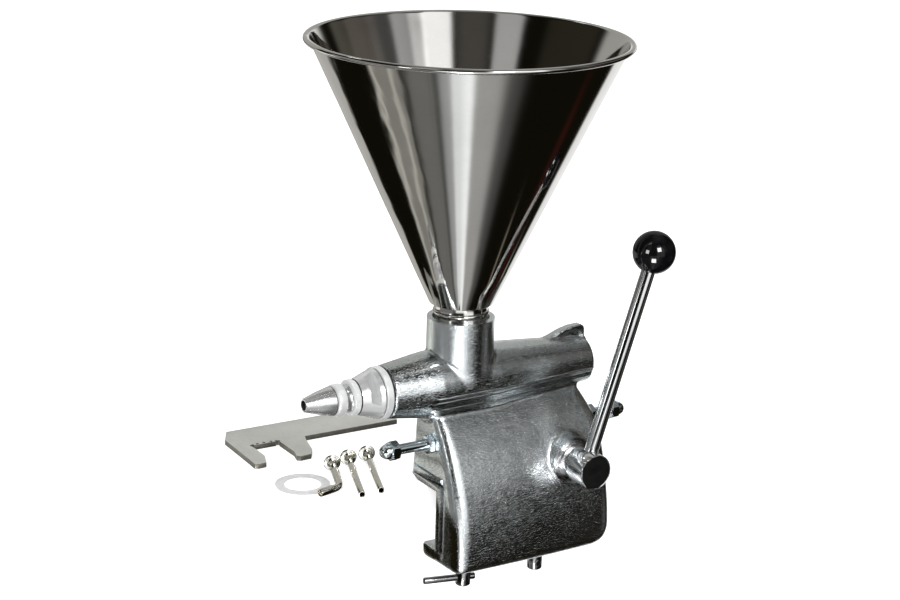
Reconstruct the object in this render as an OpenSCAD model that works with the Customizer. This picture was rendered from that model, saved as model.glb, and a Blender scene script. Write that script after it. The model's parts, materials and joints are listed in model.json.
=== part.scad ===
// Pastry filling machine: a table-clamped piston filler with a conical hopper.
// Frame: X runs along the barrel with the nozzle towards -X, -Y is the operator's side,
// +Z is up. The origin is where the hopper axis meets the table top, on the seat face.

/* [Barrel] */
// Height of the barrel axis above the table top
barrel_z = 98; // [96:0.5:100]
// Distance from the hopper axis to the front face of the barrel
barrel_front = 83; // [80:0.5:90]
// Distance from the hopper axis to the rear face of the barrel
barrel_rear = 141; // [141:0.5:150]
// Diameter of the barrel at its front face
barrel_front_d = 50; // [49:0.5:54]
// Diameter of the barrel under the hopper neck
barrel_mid_d = 64; // [60:0.5:68]
// Diameter of the barrel at its rear face
barrel_rear_d = 45; // [44:0.5:50]
// Length of the swelling front part of the barrel
barrel_nose_l = 47; // [40:0.5:55]
// Distance behind the hopper axis where the rear taper starts
barrel_taper_x = 20; // [10:1:40]
// Height of the fin above the rear of the barrel
fin_h = 13.5; // [8:0.5:18]
// Length of the fin
fin_l = 42; // [30:0.5:50]
// Thickness of the fin
fin_t = 9; // [5:0.5:12]

/* [Cylinder] */
// Bore of the cylinder liner
bore_d = 40; // [38:0.5:41]
// Wall of the cylinder liner
liner_wall = 2; // [1.5:0.1:2.2]
// Distance from the hopper axis to the front end of the liner
liner_front = 52; // [46:0.5:54]
// Distance from the hopper axis to the rear end of the liner
liner_rear = 100; // [95:0.5:104]
// Diameter of the feed hole under the hopper
feed_d = 38; // [34:0.5:39]
// Bore of the barrel behind the liner
rear_bore_d = 36; // [35:0.5:37]
// Thickness of the plug that closes the rear of the barrel
plug_t = 4; // [3:0.1:4]

/* [Neck] */
// Outer diameter of the hopper neck
neck_d = 64; // [61:0.5:68]
// Bore of the hopper neck
neck_bore_d = 54; // [50:0.5:56]
// Height of the neck's top face above the table top
neck_top = 160.5; // [156:0.5:166]
// Depth of the neck's bore
neck_depth = 30; // [24:0.5:34]

/* [Body] */
// Distance from the front face of the barrel back to the front face of the body
body_setback = 45; // [41:0.5:49]
// Wall of the hollow body
body_wall = 7; // [6:0.5:8]
// Distance from the barrel axis plane to the far side of the body
far_y = 18; // [16.5:0.5:19]
// How far the far side leans in between the seat and the barrel
far_draft = 5; // [3:0.5:6]
// Greatest distance from the barrel axis plane to the curved near side
near_y = 70; // [68:0.5:74]
// Radius of the curved near side
near_r = 220; // [210:5:240]
// Height of the clamp mouth
mouth_h = 60; // [50:1:64]
// Distance from the barrel axis plane to the inner wall of the mouth
throat_y = 27; // [26:0.5:29]
// Thickness of the lower jaw
jaw_t = 16; // [12:0.5:20]
// Reach of the lower jaw out of the mouth's wall
jaw_reach = 24; // [22:0.5:28]
// Radius of the long lower edges
edge_r = 12; // [8:0.5:14]
// Radius of the lower jaw's outer edge
jaw_r = 8; // [6:0.5:8]
// Radius of the rear lower corner
heel_r = 25; // [15:1:30]
// Thickness of the table pad
pad_t = 5; // [4.5:0.1:5]
// Thickness of the pad's upright leg
leg_t = 6; // [4:0.5:7]
// Depth of the relief grooves in the front and rear faces
relief_depth = 3; // [2:0.5:4]
// Height of the relief grooves above the table top
relief_z = 13; // [12:0.5:15]

/* [Cover] */
// Length of the cover plate on the far side
cover_l = 84; // [80:1:86]
// Height of the cover plate
cover_h = 44; // [40:1:45]
// Thickness of the cover plate
cover_t = 2.5; // [2:0.1:3]
// Thickness of the cover gasket
cover_gasket_t = 0.5; // [0.5:0.1:1]

/* [Lever] */
// Distance of the lever shaft behind the hopper axis
shaft_x = 96; // [95:0.5:97]
// Height of the lever shaft above the table top
shaft_z = 19; // [18.5:0.5:20]
// Diameter of the lever shaft
shaft_d = 16; // [14:0.5:16]
// Wall of the shaft bushes
bush_wall = 2.3; // [2:0.1:2.4]
// Diameter of the raised flange around the shaft
flange_d = 44; // [40:0.5:48]
// Distance from the barrel axis plane to the flange face
flange_y = 57; // [55:0.5:59]
// Diameter of the bearing ring on the flange
ring_d = 38; // [35:0.5:40]
// Diameter of the lever hub
hub_d = 32; // [28:0.5:34]
// Length of the lever hub
hub_l = 35; // [32:0.5:38]
// Distance from the outer end of the hub back to the lever rod
rod_setback = 17; // [14:0.5:19]
// Diameter of the lever rod
rod_d = 11.5; // [10:0.1:12]
// Distance from the shaft axis to the centre of the ball knob
lever_l = 214; // [180:1:240]
// Lean of the lever towards the rear at rest
lever_lean = 18; // [0:0.5:25]
// Diameter of the ball knob
knob_d = 40; // [35:1:50]

/* [Drive] */
// Swing of the rocker arm to each side of upright
arm_swing = 20; // [16:0.5:20]
// Width of the rocker arm
arm_w = 17; // [16:0.5:18]
// Thickness of the rocker arm's fork
arm_t = 10; // [8:0.5:10]
// Diameter of the rocker arm's hub
arm_hub_d = 26; // [24:0.5:26]
// Diameter of the crosshead pin
pin_d = 8; // [7:0.5:8]
// Length of the piston
piston_l = 56; // [52:0.5:58]
// Diameter of the piston rod
piston_rod_d = 14; // [10:0.5:16]
// Diameter of the crosshead
crosshead_d = 34; // [32:0.5:34]

/* [Stops] */
// Distance of the stop screws from the barrel axis plane, on the near side
stop_y = 15; // [14:0.5:16]
// Height of the stop screws above the table top
stop_z = 44.5; // [43:0.5:46]
// Thread diameter of the stop screws
stop_d = 10; // [8:0.5:10]
// Width across the flats of the stop screws' nuts
nut_af = 17; // [16:0.5:19]
// Thickness of the lock nuts
lock_nut_t = 6; // [5:0.5:8]
// Length of the cap nuts' hexagon
cap_nut_t = 12; // [9:0.5:14]
// Distance from the front face of the body to the front cap nut
front_reach = 37; // [20:0.5:45]
// Distance from the rear face of the body to the rear cap nut
rear_reach = 25; // [15:0.5:35]

/* [Clamp] */
// Distance of the front clamp screw behind the hopper axis
clamp_x = 2; // [-5:0.5:10]
// Distance between the two clamp screws
clamp_pitch = 83; // [70:0.5:90]
// Thread diameter of the clamp screws
clamp_d = 12; // [10:0.5:12]
// Diameter of the clamp screws' heads
clamp_head_d = 14.6; // [13.5:0.1:18]
// Length of the clamp screws' heads
clamp_head_l = 15; // [12:0.5:20]
// Distance from the table top down to the lower end of the clamp screws
clamp_drop = 107; // [104:0.5:114]
// Distance from the table top down to the pressure pads
pad_drop = 27; // [25:0.5:40]
// Diameter of the pressure pads
clamp_pad_d = 20; // [17:0.5:21]
// Thickness of the pressure pads
clamp_pad_t = 6; // [5:0.5:8]
// Diameter of the tommy bars
bar_d = 6.5; // [5:0.1:7]
// Length of the tommy bars
bar_l = 52; // [40:1:60]

/* [Nozzle] */
// Length of the union ring in front of the barrel
union_ring_l = 8; // [6:0.5:10]
// Diameter of the union ring
union_ring_d = 50; // [49:0.5:54]
// Length of the union's cone
union_cone_l = 21; // [18:0.5:26]
// Diameter of the union's cone at its small end
union_small_d = 33; // [30:0.5:34]
// Width across the union's spanner flats
union_af = 29; // [28:0.5:30]
// Diameter of the nozzle lock ring
lock_ring_d = 34.5; // [32:0.5:36]
// Length of the nozzle lock ring
lock_ring_l = 7.5; // [5:0.5:9]
// Diameter of the groove behind the nozzle tip
tip_groove_d = 27; // [26.5:0.1:28]
// Length of the groove behind the nozzle tip
tip_groove_l = 6; // [4:0.5:8]
// Diameter of the nozzle tip's band
tip_band_d = 30; // [28.5:0.5:32]
// Length of the nozzle tip's band
tip_band_l = 10; // [7:0.5:12]
// Length of the nozzle tip's cone
tip_cone_l = 28.5; // [22:0.5:34]
// Outer diameter of the nozzle tip's mouth
tip_mouth_d = 13; // [11.5:0.1:15]
// Bore of the nozzle tip's mouth
tip_bore_d = 9; // [8.5:0.1:9.5]

/* [Hopper] */
// Outer diameter of the hopper's lip
rim_d = 301; // [280:1:310]
// Height of the hopper's lip above the table top
hopper_top = 423.5; // [400:0.5:440]
// Diameter of the bead rolled along the hopper's lip
rim_bead_d = 5; // [4:0.2:8]
// Diameter of the cone at its lower end
cone_small_d = 60.5; // [58:0.5:62]
// Height of the cone's lower end above the neck's top face
cone_gap = 14; // [10:0.5:16]
// Diameter of the spigot between the neck and the cone
spigot_waist_d = 49.5; // [46:0.5:52]
// Thickness of the hopper's sheet
sheet_t = 1.2; // [1:0.1:2]

/* [Accessories] */
// Length of the flat spanner
spanner_l = 184; // [160:1:200]
// Width of the flat spanner's handle
spanner_w = 46; // [40:1:50]
// Thickness of the flat spanner
spanner_t = 5; // [3:0.5:6]
// Depth of the spanner's jaw
spanner_jaw = 47; // [36:1:50]
// Width of the spanner's prongs
spanner_prong = 19; // [14:0.5:22]
// Outer diameter of the spare gasket
gasket_d = 52.5; // [48:0.5:56]
// Hole in the spare gasket
gasket_bore_d = 35; // [30:0.5:40]
// Thickness of the gaskets
gasket_t = 1.5; // [1:0.1:2]
// Outer diameter of the straight filling tubes
tube_d = 6.2; // [5:0.1:7]
// Outer diameter of the bent filling tube
bent_tube_d = 7.5; // [6:0.1:8]
// Length of the straight filling tubes
tube_l = 86; // [60:1:100]
// Diameter of the filling tubes' flanges
tube_flange_d = 16.5; // [14:0.5:18]

/* [Hidden] */
$fn = 96;

// Radial play of a running fit, and the gap between parts that only pass each other
run_gap = 0.05;
clear = 0.3;
// Overcut that keeps a cut clean through a face
over = 1;

// Cylinder and barrel places
liner_d = bore_d + 2 * liner_wall;
nose_x = -barrel_front + barrel_nose_l;
body_front = barrel_front - body_setback;
body_rear = barrel_rear - 1;
fin_r = 5.5;
plug_x = barrel_rear - plug_t;
neck_floor = neck_top - neck_depth;

// Rocker arm, crosshead and piston places, at rest with the arm at its rear stop
arm_r = barrel_z - shaft_z;
reach = arm_r * tan(arm_swing);
pin_x = shaft_x + reach;
fork_r = arm_r / cos(arm_swing) + pin_d / 2 + 2;
fork_play = 0.7;
slot_x0 = shaft_x - fork_r * sin(arm_swing) - arm_w / 2 - 3;
slot_x1 = shaft_x + fork_r * sin(arm_swing) + arm_w / 2 + 1.5;
slot_y = arm_t / 2 + 1.5;
piston_x = feed_d / 2 + 8;
piston_play = run_gap;
crosshead_base = 9;
crosshead_nose = crosshead_d / 2 * tan(arm_swing) + arm_w / 2 / cos(arm_swing) + 1;
crosshead_x = pin_x - crosshead_nose - crosshead_base;
crosshead_tail = pin_d / 2 + 4;
rod_socket = 8;
ring_groove_l = 3.2;
ring_groove_depth = 2.4;

// Body places
far_wall = far_y - arm_t / 2 - 1.5;
chamber_floor = pad_t + 6;
chamber_top = barrel_z - barrel_mid_d / 2 - 4;
body_top = barrel_z - 18;
jaw_end_y = jaw_reach - throat_y;
leg_y = throat_y + leg_t;
spine_in_y = leg_y + body_wall + 1;
mouth_z = -mouth_h;
base_z = mouth_z - jaw_t;
near_cy = near_r - near_y;
near_cz = base_z + edge_r;
edge_steps = 7;
edge_angle = 180 + 90 / (edge_steps + 1);
relief_low = mouth_z + 10;
back_z = 35;
shoulder_x = body_rear - 13;

// Shaft line places, as distances from the barrel axis plane towards the near side
bush_d = shaft_d + 2 * bush_wall;
ring_t = 3;
hub_face = flange_y + ring_t + 0.7;
hub_end = hub_face + hub_l;
near_bush_in = flange_y - 15.5;
arm_hub_out = near_bush_in - clear;
arm_hub_in = arm_t / 2 + 12.3;
inner_bush_in = arm_t / 2 + 2;
inner_bush_out = arm_hub_in - clear;
inner_boss_d = min(bush_d + 8, 2 * (shaft_z - pad_t) - 0.6);
near_boss_d = bush_d + 10;
web_t = 8.2;
bridge_y = stop_y + stop_d / 2 + 1;
bridge_r0 = arm_hub_d / 2 + 5;
bridge_r1 = bridge_r0 + 13;
rod_y = hub_end - rod_setback;
cap_t = 2;
cap_d = hub_d - 3;
knob_socket = 14;
shaft_in = inner_bush_in - 4;
shaft_out = hub_end - 10;
circlip_t = 1.2;
circlip_groove_d = shaft_d - 1.2;
arm_pin_d = 5;
arm_pin_y = (arm_hub_out + arm_hub_in + web_t) / 2;
set_screw_d = 5;
set_screw_y = rod_y + rod_d / 2 + set_screw_d / 2 + 2;

// Cover places
cover_y = arm_t / 2 + 6;
cover_x = shaft_x - 4;
cover_z = chamber_floor + 4 + cover_h / 2;
cover_lap = 6;
cover_screw_d = 4;
cover_screw_l = 5;

// Stop screws touch the arm at its two end positions
arm_edge = (arm_w / 2) / cos(arm_swing) + clear;
stop_reach = (stop_z - shaft_z) * tan(arm_swing);
tip_round = 1.5;
front_stop_x = shaft_x - stop_reach - arm_edge - stop_d / 2 * tan(arm_swing);
rear_stop_x = shaft_x + stop_reach + arm_edge + stop_d / 2 * tan(arm_swing);
front_cap_x = -body_front - front_reach;
rear_cap_x = body_rear + rear_reach;
nut_corner_d = nut_af / cos(30);

// Clamp places
clamp_y = throat_y - clamp_pad_d / 2 - 1;
clamp_spigot_d = 7;
clamp_spigot_l = 4;
pad_base = -pad_drop - clamp_pad_t;
spigot_gap = 0.1;
pad_screw_d = 5;
pad_screw_l = pad_t + 5;
bar_z = -clamp_drop + clamp_head_l / 2;
bar_angle = 167;
rear_bar_angle = 84;
bar_short = clamp_head_d / 2 + 4.5;

// Nozzle places, running forward from the barrel's front face
valve_seat_l = 8;
valve_bore_d = 24;
seat_front = -liner_front - valve_seat_l;
valve_disc_d = 34;
valve_disc_t = 3;
valve_stem_d = 8;
valve_stem_l = 8;
union_thread_l = 12;
union_bore_d = 36;
union_rear = -barrel_front - gasket_t;
union_x1 = union_rear - union_ring_l;
union_x2 = union_x1 - union_cone_l;
spring_seat = union_x1 + 3;
spigot_d = 24;
spigot_bore_d = 19;
ring_x = union_x2 - lock_ring_l;
groove_x = ring_x - tip_groove_l;
band_x = groove_x - tip_band_l;
mouth_x = band_x - tip_cone_l;
spigot_x = groove_x - 5;
mouth_l = 6;
spring_wire = 1.8;
spring_mean_d = 27;
spring_turns = 6;
spring_steps = 12;
spring_sides = 6;

// Hopper places
rim_r = rim_bead_d / 2;
cone_z = neck_top + cone_gap;
spigot_out_d = neck_bore_d - 2 * run_gap;
seal_t = 2;
rim_z = hopper_top - rim_r;

// Accessory places on the table top
spanner_at = [-barrel_front - 80, rim_d / 2 - 2.5];
gasket_at = [-barrel_front - 58, 46];
left_tube_at = [-barrel_front + 5, 72];
right_tube_at = [-barrel_front + 26, 73];
bent_tube_at = [-barrel_front - 16, 66];
spanner_gap = union_af + 1;
tube_turn = 20;
bend_r = 14;
bend_angle = 60;
bent_leg = 44;
bent_end = 16;
bent_l = bent_leg + bend_r;
bent_sides = 24;
flange_t = 3;

// Points of an arc
function arc(c, r, a0, a1, n) =
    [for (i = [0 : n]) [c[0] + r * cos(a0 + (a1 - a0) * i / n),
                        c[1] + r * sin(a0 + (a1 - a0) * i / n)]];

// Distance of the curved near side from the axis plane at a height, for a radius
function near_at(z, r) = near_cy - sqrt(r * r - pow(z - near_cz, 2));

// Angle on the near side's circle for a height
function near_angle(z, r) = 180 - asin((z - near_cz) / r);

// Extrude a Y-Z outline along X
module along_x(x0, x1) {
    translate([x0, 0, 0]) rotate([90, 0, 90]) linear_extrude(x1 - x0) children();
}

// Extrude an X-Z outline along Y
module along_y(y0, y1) {
    translate([0, y1, 0]) rotate([90, 0, 0]) linear_extrude(y1 - y0) children();
}

// Round bar on the barrel axis
module bar_x(x0, x1, d) {
    translate([x0, 0, barrel_z]) rotate([0, 90, 0]) cylinder(h = x1 - x0, d = d);
}

// Round bar across the machine, between two distances on the near side
module bar_y(near, far, d, x = shaft_x, z = shaft_z) {
    translate([x, -far, z]) rotate([90, 0, 0]) cylinder(h = near - far, d = d);
}

// Turned shape on the barrel axis, from points that hold radius and x
module turned_x(points) {
    translate([0, 0, barrel_z]) rotate([0, 90, 0]) rotate_extrude() polygon(points);
}

// Ring on the barrel axis
module ring_x_at(x0, x1, outer, inner) {
    difference() {
        bar_x(x0, x1, outer);
        bar_x(x0 - over, x1 + over, inner);
    }
}

// Hexagon along X with its chamfered corners
module hex_x(x0, x1, af) {
    intersection() {
        translate([x0, 0, 0]) rotate([0, 90, 0]) cylinder(h = x1 - x0, d = af / cos(30), $fn = 6);
        translate([x0, 0, 0]) rotate([0, 90, 0]) rotate_extrude() polygon([
            [0, 0], [af / 2, 0], [af / 2 + 1.4, 1], [af / 2 + 1.4, x1 - x0 - 1],
            [af / 2, x1 - x0], [0, x1 - x0]]);
    }
}

// Outline of the body across the machine
module body_outline() {
    top_angle = near_angle(body_top, near_r);
    polygon(concat(
        [[far_y, pad_t], [far_y - far_draft, chamber_top], [far_y - far_draft - 2, body_top]],
        arc([near_cy, near_cz], near_r, top_angle, 180, 24),
        arc([-near_y + edge_r, near_cz], edge_r, edge_angle, 270, edge_steps),
        arc([jaw_end_y - jaw_r, base_z + jaw_r], jaw_r, 270, 360, 6),
        [[jaw_end_y, mouth_z], [-leg_y, mouth_z], [-leg_y, pad_t]]));
}

// Outline of the body from the side
module side_outline() {
    polygon(concat(
        [[-body_front, body_top]],
        arc([-body_front + jaw_r, base_z + jaw_r], jaw_r, 180, 270, 6),
        arc([body_rear - heel_r, base_z + heel_r], heel_r, 270, 360, 12),
        [[body_rear, back_z], [body_rear - 4, back_z + 20], [shoulder_x, body_top - 5],
         [shoulder_x - 2, body_top]]));
}

// Hollow of the body across the machine
module chamber_outline() {
    r = near_r - body_wall;
    polygon(concat(
        [[far_y - far_wall, chamber_floor], [far_y - far_wall, chamber_top]],
        arc([near_cy, near_cz], r, near_angle(chamber_top, r), near_angle(base_z + 16, r), 20),
        [[-near_y + body_wall + 6, base_z + body_wall], [-spine_in_y, base_z + body_wall],
         [-spine_in_y, chamber_floor]]));
}

// Hollow of the body from the side
module chamber_side() {
    polygon(concat(
        [[-body_front + body_wall, chamber_top], [-body_front + body_wall, base_z]],
        arc([body_rear - heel_r, base_z + heel_r], heel_r - body_wall, 270, 360, 8),
        [[body_rear - body_wall, back_z], [shoulder_x - body_wall, chamber_top]]));
}

// Outside of the barrel
module barrel_shell() {
    turned_x([[0, -barrel_front], [barrel_front_d / 2, -barrel_front],
        [barrel_mid_d / 2, nose_x], [barrel_mid_d / 2, barrel_taper_x],
        [barrel_rear_d / 2, barrel_rear - 1], [barrel_rear_d / 2 - 1, barrel_rear],
        [0, barrel_rear]]);
}

// Fin on top of the barrel's rear
module fin() {
    top = barrel_z + barrel_rear_d / 2;
    x1 = barrel_rear - 1;
    rise = fin_h - 4;
    along_y(-fin_t / 2, fin_t / 2) polygon(concat(
        [[x1 - fin_l, barrel_z]],
        [for (i = [0 : 8]) let (t = i / 8)
            [x1 - fin_l + (fin_l - fin_r) * t, top + 4 + rise * sin(90 * pow(t, 0.9))]],
        arc([x1 - fin_r, top + fin_h - fin_r], fin_r, 78, 0, 6),
        [[x1, barrel_z]]));
}

// Tapered relief beside the pad's leg and the slot above the pad, cut in both end faces
module reliefs() {
    for (x = [-body_front, body_rear - relief_depth]) {
        along_x(x, x + relief_depth) polygon([[-leg_y + over, relief_z],
            [-leg_y + over, relief_low], [-leg_y - 0.8, relief_low],
            [-leg_y - 5, relief_z + 2.5], [far_y - 3, relief_z + 2.5], [far_y - 3, relief_z]]);
    }
}

// Places of the cover screws
module cover_screw_places() {
    for (sx = [-1, 1], sz = [-1, 1])
        translate([cover_x + sx * (cover_l / 2 - 4), 0, cover_z + sz * (cover_h / 2 - 4)])
            children();
}

// Places of the pad screws
module pad_screw_places() {
    for (x = [-body_front + jaw_t, body_rear - jaw_t], y = [-throat_y * 0.22, -throat_y * 0.74])
        translate([x, y, 0]) children();
}

module body_casting() {
    color("gainsboro") difference() {
        union() {
            difference() {
                union() {
                    barrel_shell();
                    intersection() {
                        along_x(-body_front, body_rear) body_outline();
                        along_y(-near_y - over, far_y + over) side_outline();
                    }
                    translate([0, 0, barrel_z]) cylinder(h = neck_top - barrel_z, d = neck_d);
                    fin();
                    bar_y(flange_y, near_bush_in, flange_d);
                }
                intersection() {
                    along_x(-body_front, body_rear) chamber_outline();
                    along_y(-near_y, far_y) chamber_side();
                }
                bar_y(arm_hub_out + clear, 0, arm_hub_d + 3);
                translate([slot_x0, -slot_y, chamber_floor + 10])
                    cube([slot_x1 - slot_x0, 2 * slot_y, barrel_z - chamber_floor - 10]);
            }
            bar_y(inner_bush_out, inner_bush_in, inner_boss_d);
            translate([shaft_x - inner_boss_d / 2, -inner_bush_out, pad_t])
                cube([inner_boss_d, inner_bush_out - inner_bush_in, shaft_z - pad_t]);
            bar_y(-near_at(shaft_z, near_r), near_bush_in, near_boss_d);
        }
        bar_x(-barrel_front - over, liner_rear, liner_d);
        bar_x(liner_rear - over, barrel_rear + over, rear_bore_d);
        translate([0, 0, neck_floor]) cylinder(h = neck_depth + over, d = neck_bore_d);
        translate([0, 0, barrel_z]) cylinder(h = neck_depth + over, d = feed_d);
        bar_y(flange_y + over, inner_bush_in - over, bush_d);
        bar_y(near_y + over, flange_y, flange_d + 2);
        translate([cover_x - cover_l / 2, cover_y, cover_z - cover_h / 2])
            cube([cover_l, far_y, cover_h]);
        translate([cover_x - cover_l / 2 + cover_lap, 0, cover_z - cover_h / 2 + cover_lap])
            cube([cover_l - 2 * cover_lap, far_y, cover_h - 2 * cover_lap]);
        cover_screw_places() translate([0, cover_y + over, 0]) rotate([90, 0, 0])
            cylinder(h = over + cover_screw_l, d = cover_screw_d);
        pad_screw_places() cylinder(h = pad_screw_l, d = pad_screw_d);
        for (x = [-body_front - over, body_rear - 3 * body_wall])
            translate([x, -stop_y, stop_z]) rotate([0, 90, 0])
                cylinder(h = 3 * body_wall + over, d = stop_d + 2 * run_gap);
        for (i = [0, 1]) translate([clamp_x + i * clamp_pitch, -clamp_y, base_z - over])
            cylinder(h = jaw_t + 2 * over, d = clamp_d + 2 * run_gap);
        reliefs();
    }
}

module table_pad() {
    color("lightgray") difference() {
        intersection() {
            along_x(-body_front, body_rear) polygon([[far_y, 4], [far_y, pad_t], [-leg_y, pad_t],
                [-leg_y, mouth_z], [-throat_y, mouth_z], [-throat_y, 0], [far_y - 11, 0]]);
            along_y(-near_y, far_y + over) side_outline();
        }
        pad_screw_places() {
            translate([0, 0, -over]) cylinder(h = pad_t + 2 * over, d = pad_screw_d);
            translate([0, 0, -over]) cylinder(h = 3.5 + over, d = 2 * pad_screw_d);
        }
    }
}

module pad_screws() {
    color("silver") pad_screw_places() {
        translate([0, 0, 0.5]) cylinder(h = 3, d = 2 * pad_screw_d);
        translate([0, 0, 3.5]) cylinder(h = pad_screw_l - 3.5, d = pad_screw_d);
    }
}

module cylinder_liner() {
    color("silver") difference() {
        ring_x_at(-liner_front, liner_rear, liner_d, bore_d);
        translate([0, 0, barrel_z]) cylinder(h = liner_d, d = feed_d);
        translate([slot_x0, -slot_y, barrel_z - liner_d]) cube([liner_rear, 2 * slot_y, liner_d]);
    }
}

module rear_plug() {
    color("gainsboro") bar_x(plug_x, barrel_rear - 0.5, rear_bore_d);
}

module cover_plate() {
    color("silver") difference() {
        translate([cover_x - cover_l / 2, cover_y + cover_gasket_t, cover_z - cover_h / 2])
            cube([cover_l, cover_t, cover_h]);
        cover_screw_places() translate([0, far_y, 0]) rotate([90, 0, 0])
            cylinder(h = far_y, d = cover_screw_d);
    }
}

module cover_gasket() {
    color("dimgray") difference() {
        translate([cover_x - cover_l / 2, cover_y, cover_z - cover_h / 2])
            cube([cover_l, cover_gasket_t, cover_h]);
        translate([cover_x - cover_l / 2 + cover_lap, 0, cover_z - cover_h / 2 + cover_lap])
            cube([cover_l - 2 * cover_lap, far_y, cover_h - 2 * cover_lap]);
        cover_screw_places() translate([0, far_y, 0]) rotate([90, 0, 0])
            cylinder(h = far_y, d = cover_screw_d);
    }
}

module cover_screws() {
    head_y = cover_y + cover_gasket_t + cover_t;
    color("silver") cover_screw_places() {
        translate([0, head_y, 0]) rotate([90, 0, 0])
            cylinder(h = head_y - cover_y + cover_screw_l, d = cover_screw_d);
        translate([0, head_y + 2.2, 0]) rotate([90, 0, 0]) cylinder(h = 2.2, d = 7.5);
    }
}

module near_bush() {
    color("peru") difference() {
        bar_y(flange_y, near_bush_in, bush_d);
        bar_y(flange_y + over, near_bush_in - over, shaft_d + 2 * run_gap);
    }
}

module inner_bush() {
    color("peru") difference() {
        bar_y(inner_bush_out, inner_bush_in, bush_d);
        bar_y(inner_bush_out + over, inner_bush_in - over, shaft_d + 2 * run_gap);
    }
}

module bearing_ring() {
    color("gainsboro") difference() {
        bar_y(flange_y + ring_t, flange_y, ring_d);
        bar_y(flange_y + ring_t + over, flange_y - over, shaft_d + 2 * run_gap);
    }
}

module lever_shaft() {
    color("silver") difference() {
        bar_y(shaft_out, shaft_in, shaft_d);
        difference() {
            bar_y(inner_bush_in - 0.4, inner_bush_in - 0.4 - circlip_t, shaft_d + over);
            bar_y(inner_bush_in, shaft_in, circlip_groove_d);
        }
        arm_pin_hole();
    }
}

module shaft_circlip() {
    color("dimgray") difference() {
        bar_y(inner_bush_in - 0.4, inner_bush_in - 0.4 - circlip_t, shaft_d + 6);
        bar_y(inner_bush_in, shaft_in - over, circlip_groove_d);
        translate([shaft_x - 2, -inner_bush_in, shaft_z - shaft_d])
            cube([4, circlip_t + over, shaft_d]);
    }
}

// Place of things that lean with the rocker arm at rest
module on_arm() {
    translate([shaft_x, 0, shaft_z]) rotate([0, arm_swing, 0]) children();
}

module arm_pin_hole() {
    on_arm() translate([-arm_hub_d, -arm_pin_y, 0]) rotate([0, 90, 0])
        cylinder(h = 2 * arm_hub_d, d = arm_pin_d);
}

module rocker_arm() {
    color("darkgray") difference() {
        union() {
            bar_y(arm_hub_out, arm_hub_in, arm_hub_d);
            on_arm() translate([-arm_w / 2, -arm_hub_in - web_t, 0])
                cube([arm_w, web_t, bridge_r0 + 6]);
            on_arm() translate([-arm_w / 2, -bridge_y, bridge_r0])
                cube([arm_w, bridge_y + arm_t / 2, bridge_r1 - bridge_r0]);
            on_arm() translate([-arm_w / 2, -arm_t / 2, bridge_r0])
                cube([arm_w, arm_t, fork_r - bridge_r0]);
        }
        bar_y(arm_hub_out + over, arm_hub_in - over, shaft_d);
        arm_pin_hole();
        on_arm() translate([-pin_d / 2 - fork_play, -arm_t, arm_r - pin_d / 2 - 2])
            cube([pin_d + 2 * fork_play, 2 * arm_t, fork_r]);
    }
}

module arm_pin() {
    color("silver") on_arm() translate([-arm_hub_d / 2 + 0.5, -arm_pin_y, 0]) rotate([0, 90, 0])
        cylinder(h = arm_hub_d - 1, d = arm_pin_d);
}

// Place of things that lean with the lever at rest
module on_lever() {
    translate([shaft_x, 0, shaft_z]) rotate([0, lever_lean, 0]) children();
}

module set_screw_hole() {
    on_lever() translate([0, -set_screw_y, shaft_d / 2])
        cylinder(h = hub_d / 2 - shaft_d / 2 - 1, d = set_screw_d);
}

module lever_hub() {
    color("silver") difference() {
        union() {
            bar_y(hub_end - 1, hub_face, hub_d);
            translate([shaft_x, -hub_end + 1, shaft_z]) rotate([90, 0, 0])
                cylinder(h = 1, d1 = hub_d, d2 = hub_d - 1.6);
        }
        bar_y(shaft_out, hub_face - over, shaft_d);
        bar_y(hub_end + over, hub_end - cap_t, cap_d);
        on_lever() translate([0, -rod_y, shaft_d / 2 - 0.5]) cylinder(h = hub_d, d = rod_d);
        on_lever() translate([0, -set_screw_y, 0])
            cylinder(h = hub_d, d = set_screw_d);
    }
}

module hub_set_screw() {
    color("dimgray") difference() {
        set_screw_hole();
        on_lever() translate([0, -set_screw_y, hub_d / 2 - 3.5]) cylinder(h = 4, d = 2.5);
    }
}

module hub_end_cap() {
    color("black") bar_y(hub_end - 0.4, hub_end - cap_t, cap_d);
}

module lever_rod() {
    color("silver") difference() {
        on_lever() translate([0, -rod_y, shaft_d / 2 - 0.5])
            cylinder(h = lever_l - knob_d / 2 + knob_socket - shaft_d / 2 + 0.5, d = rod_d);
        bar_y(shaft_out, hub_face, shaft_d);
    }
}

module ball_knob() {
    color("black") on_lever() translate([0, -rod_y, lever_l]) difference() {
        sphere(d = knob_d);
        translate([0, 0, -knob_d]) cylinder(h = knob_d / 2 + knob_socket, d = rod_d);
        translate([0, 0, -knob_d - knob_d / 2 + 1.2]) cylinder(h = knob_d, d = knob_d);
    }
}

module ring_groove(x) {
    difference() {
        bar_x(x, x + ring_groove_l, bore_d + over);
        bar_x(x - over, x + ring_groove_l + over, bore_d - 2 * ring_groove_depth);
    }
}

module piston() {
    color("gainsboro") difference() {
        bar_x(piston_x, piston_x + piston_l, bore_d - 2 * piston_play);
        for (i = [1, 2]) ring_groove(piston_x + 7 * i - 2);
        bar_x(piston_x + piston_l - rod_socket - 4, piston_x + piston_l + over, piston_rod_d);
    }
}

module piston_seals() {
    color("white") for (i = [1, 2])
        ring_x_at(piston_x + 7 * i - 2, piston_x + 7 * i - 2 + ring_groove_l,
            bore_d - 0.02, bore_d - 2 * ring_groove_depth);
}

module piston_rod() {
    color("silver") bar_x(piston_x + piston_l - rod_socket - 4, crosshead_x + rod_socket, piston_rod_d);
}

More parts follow.
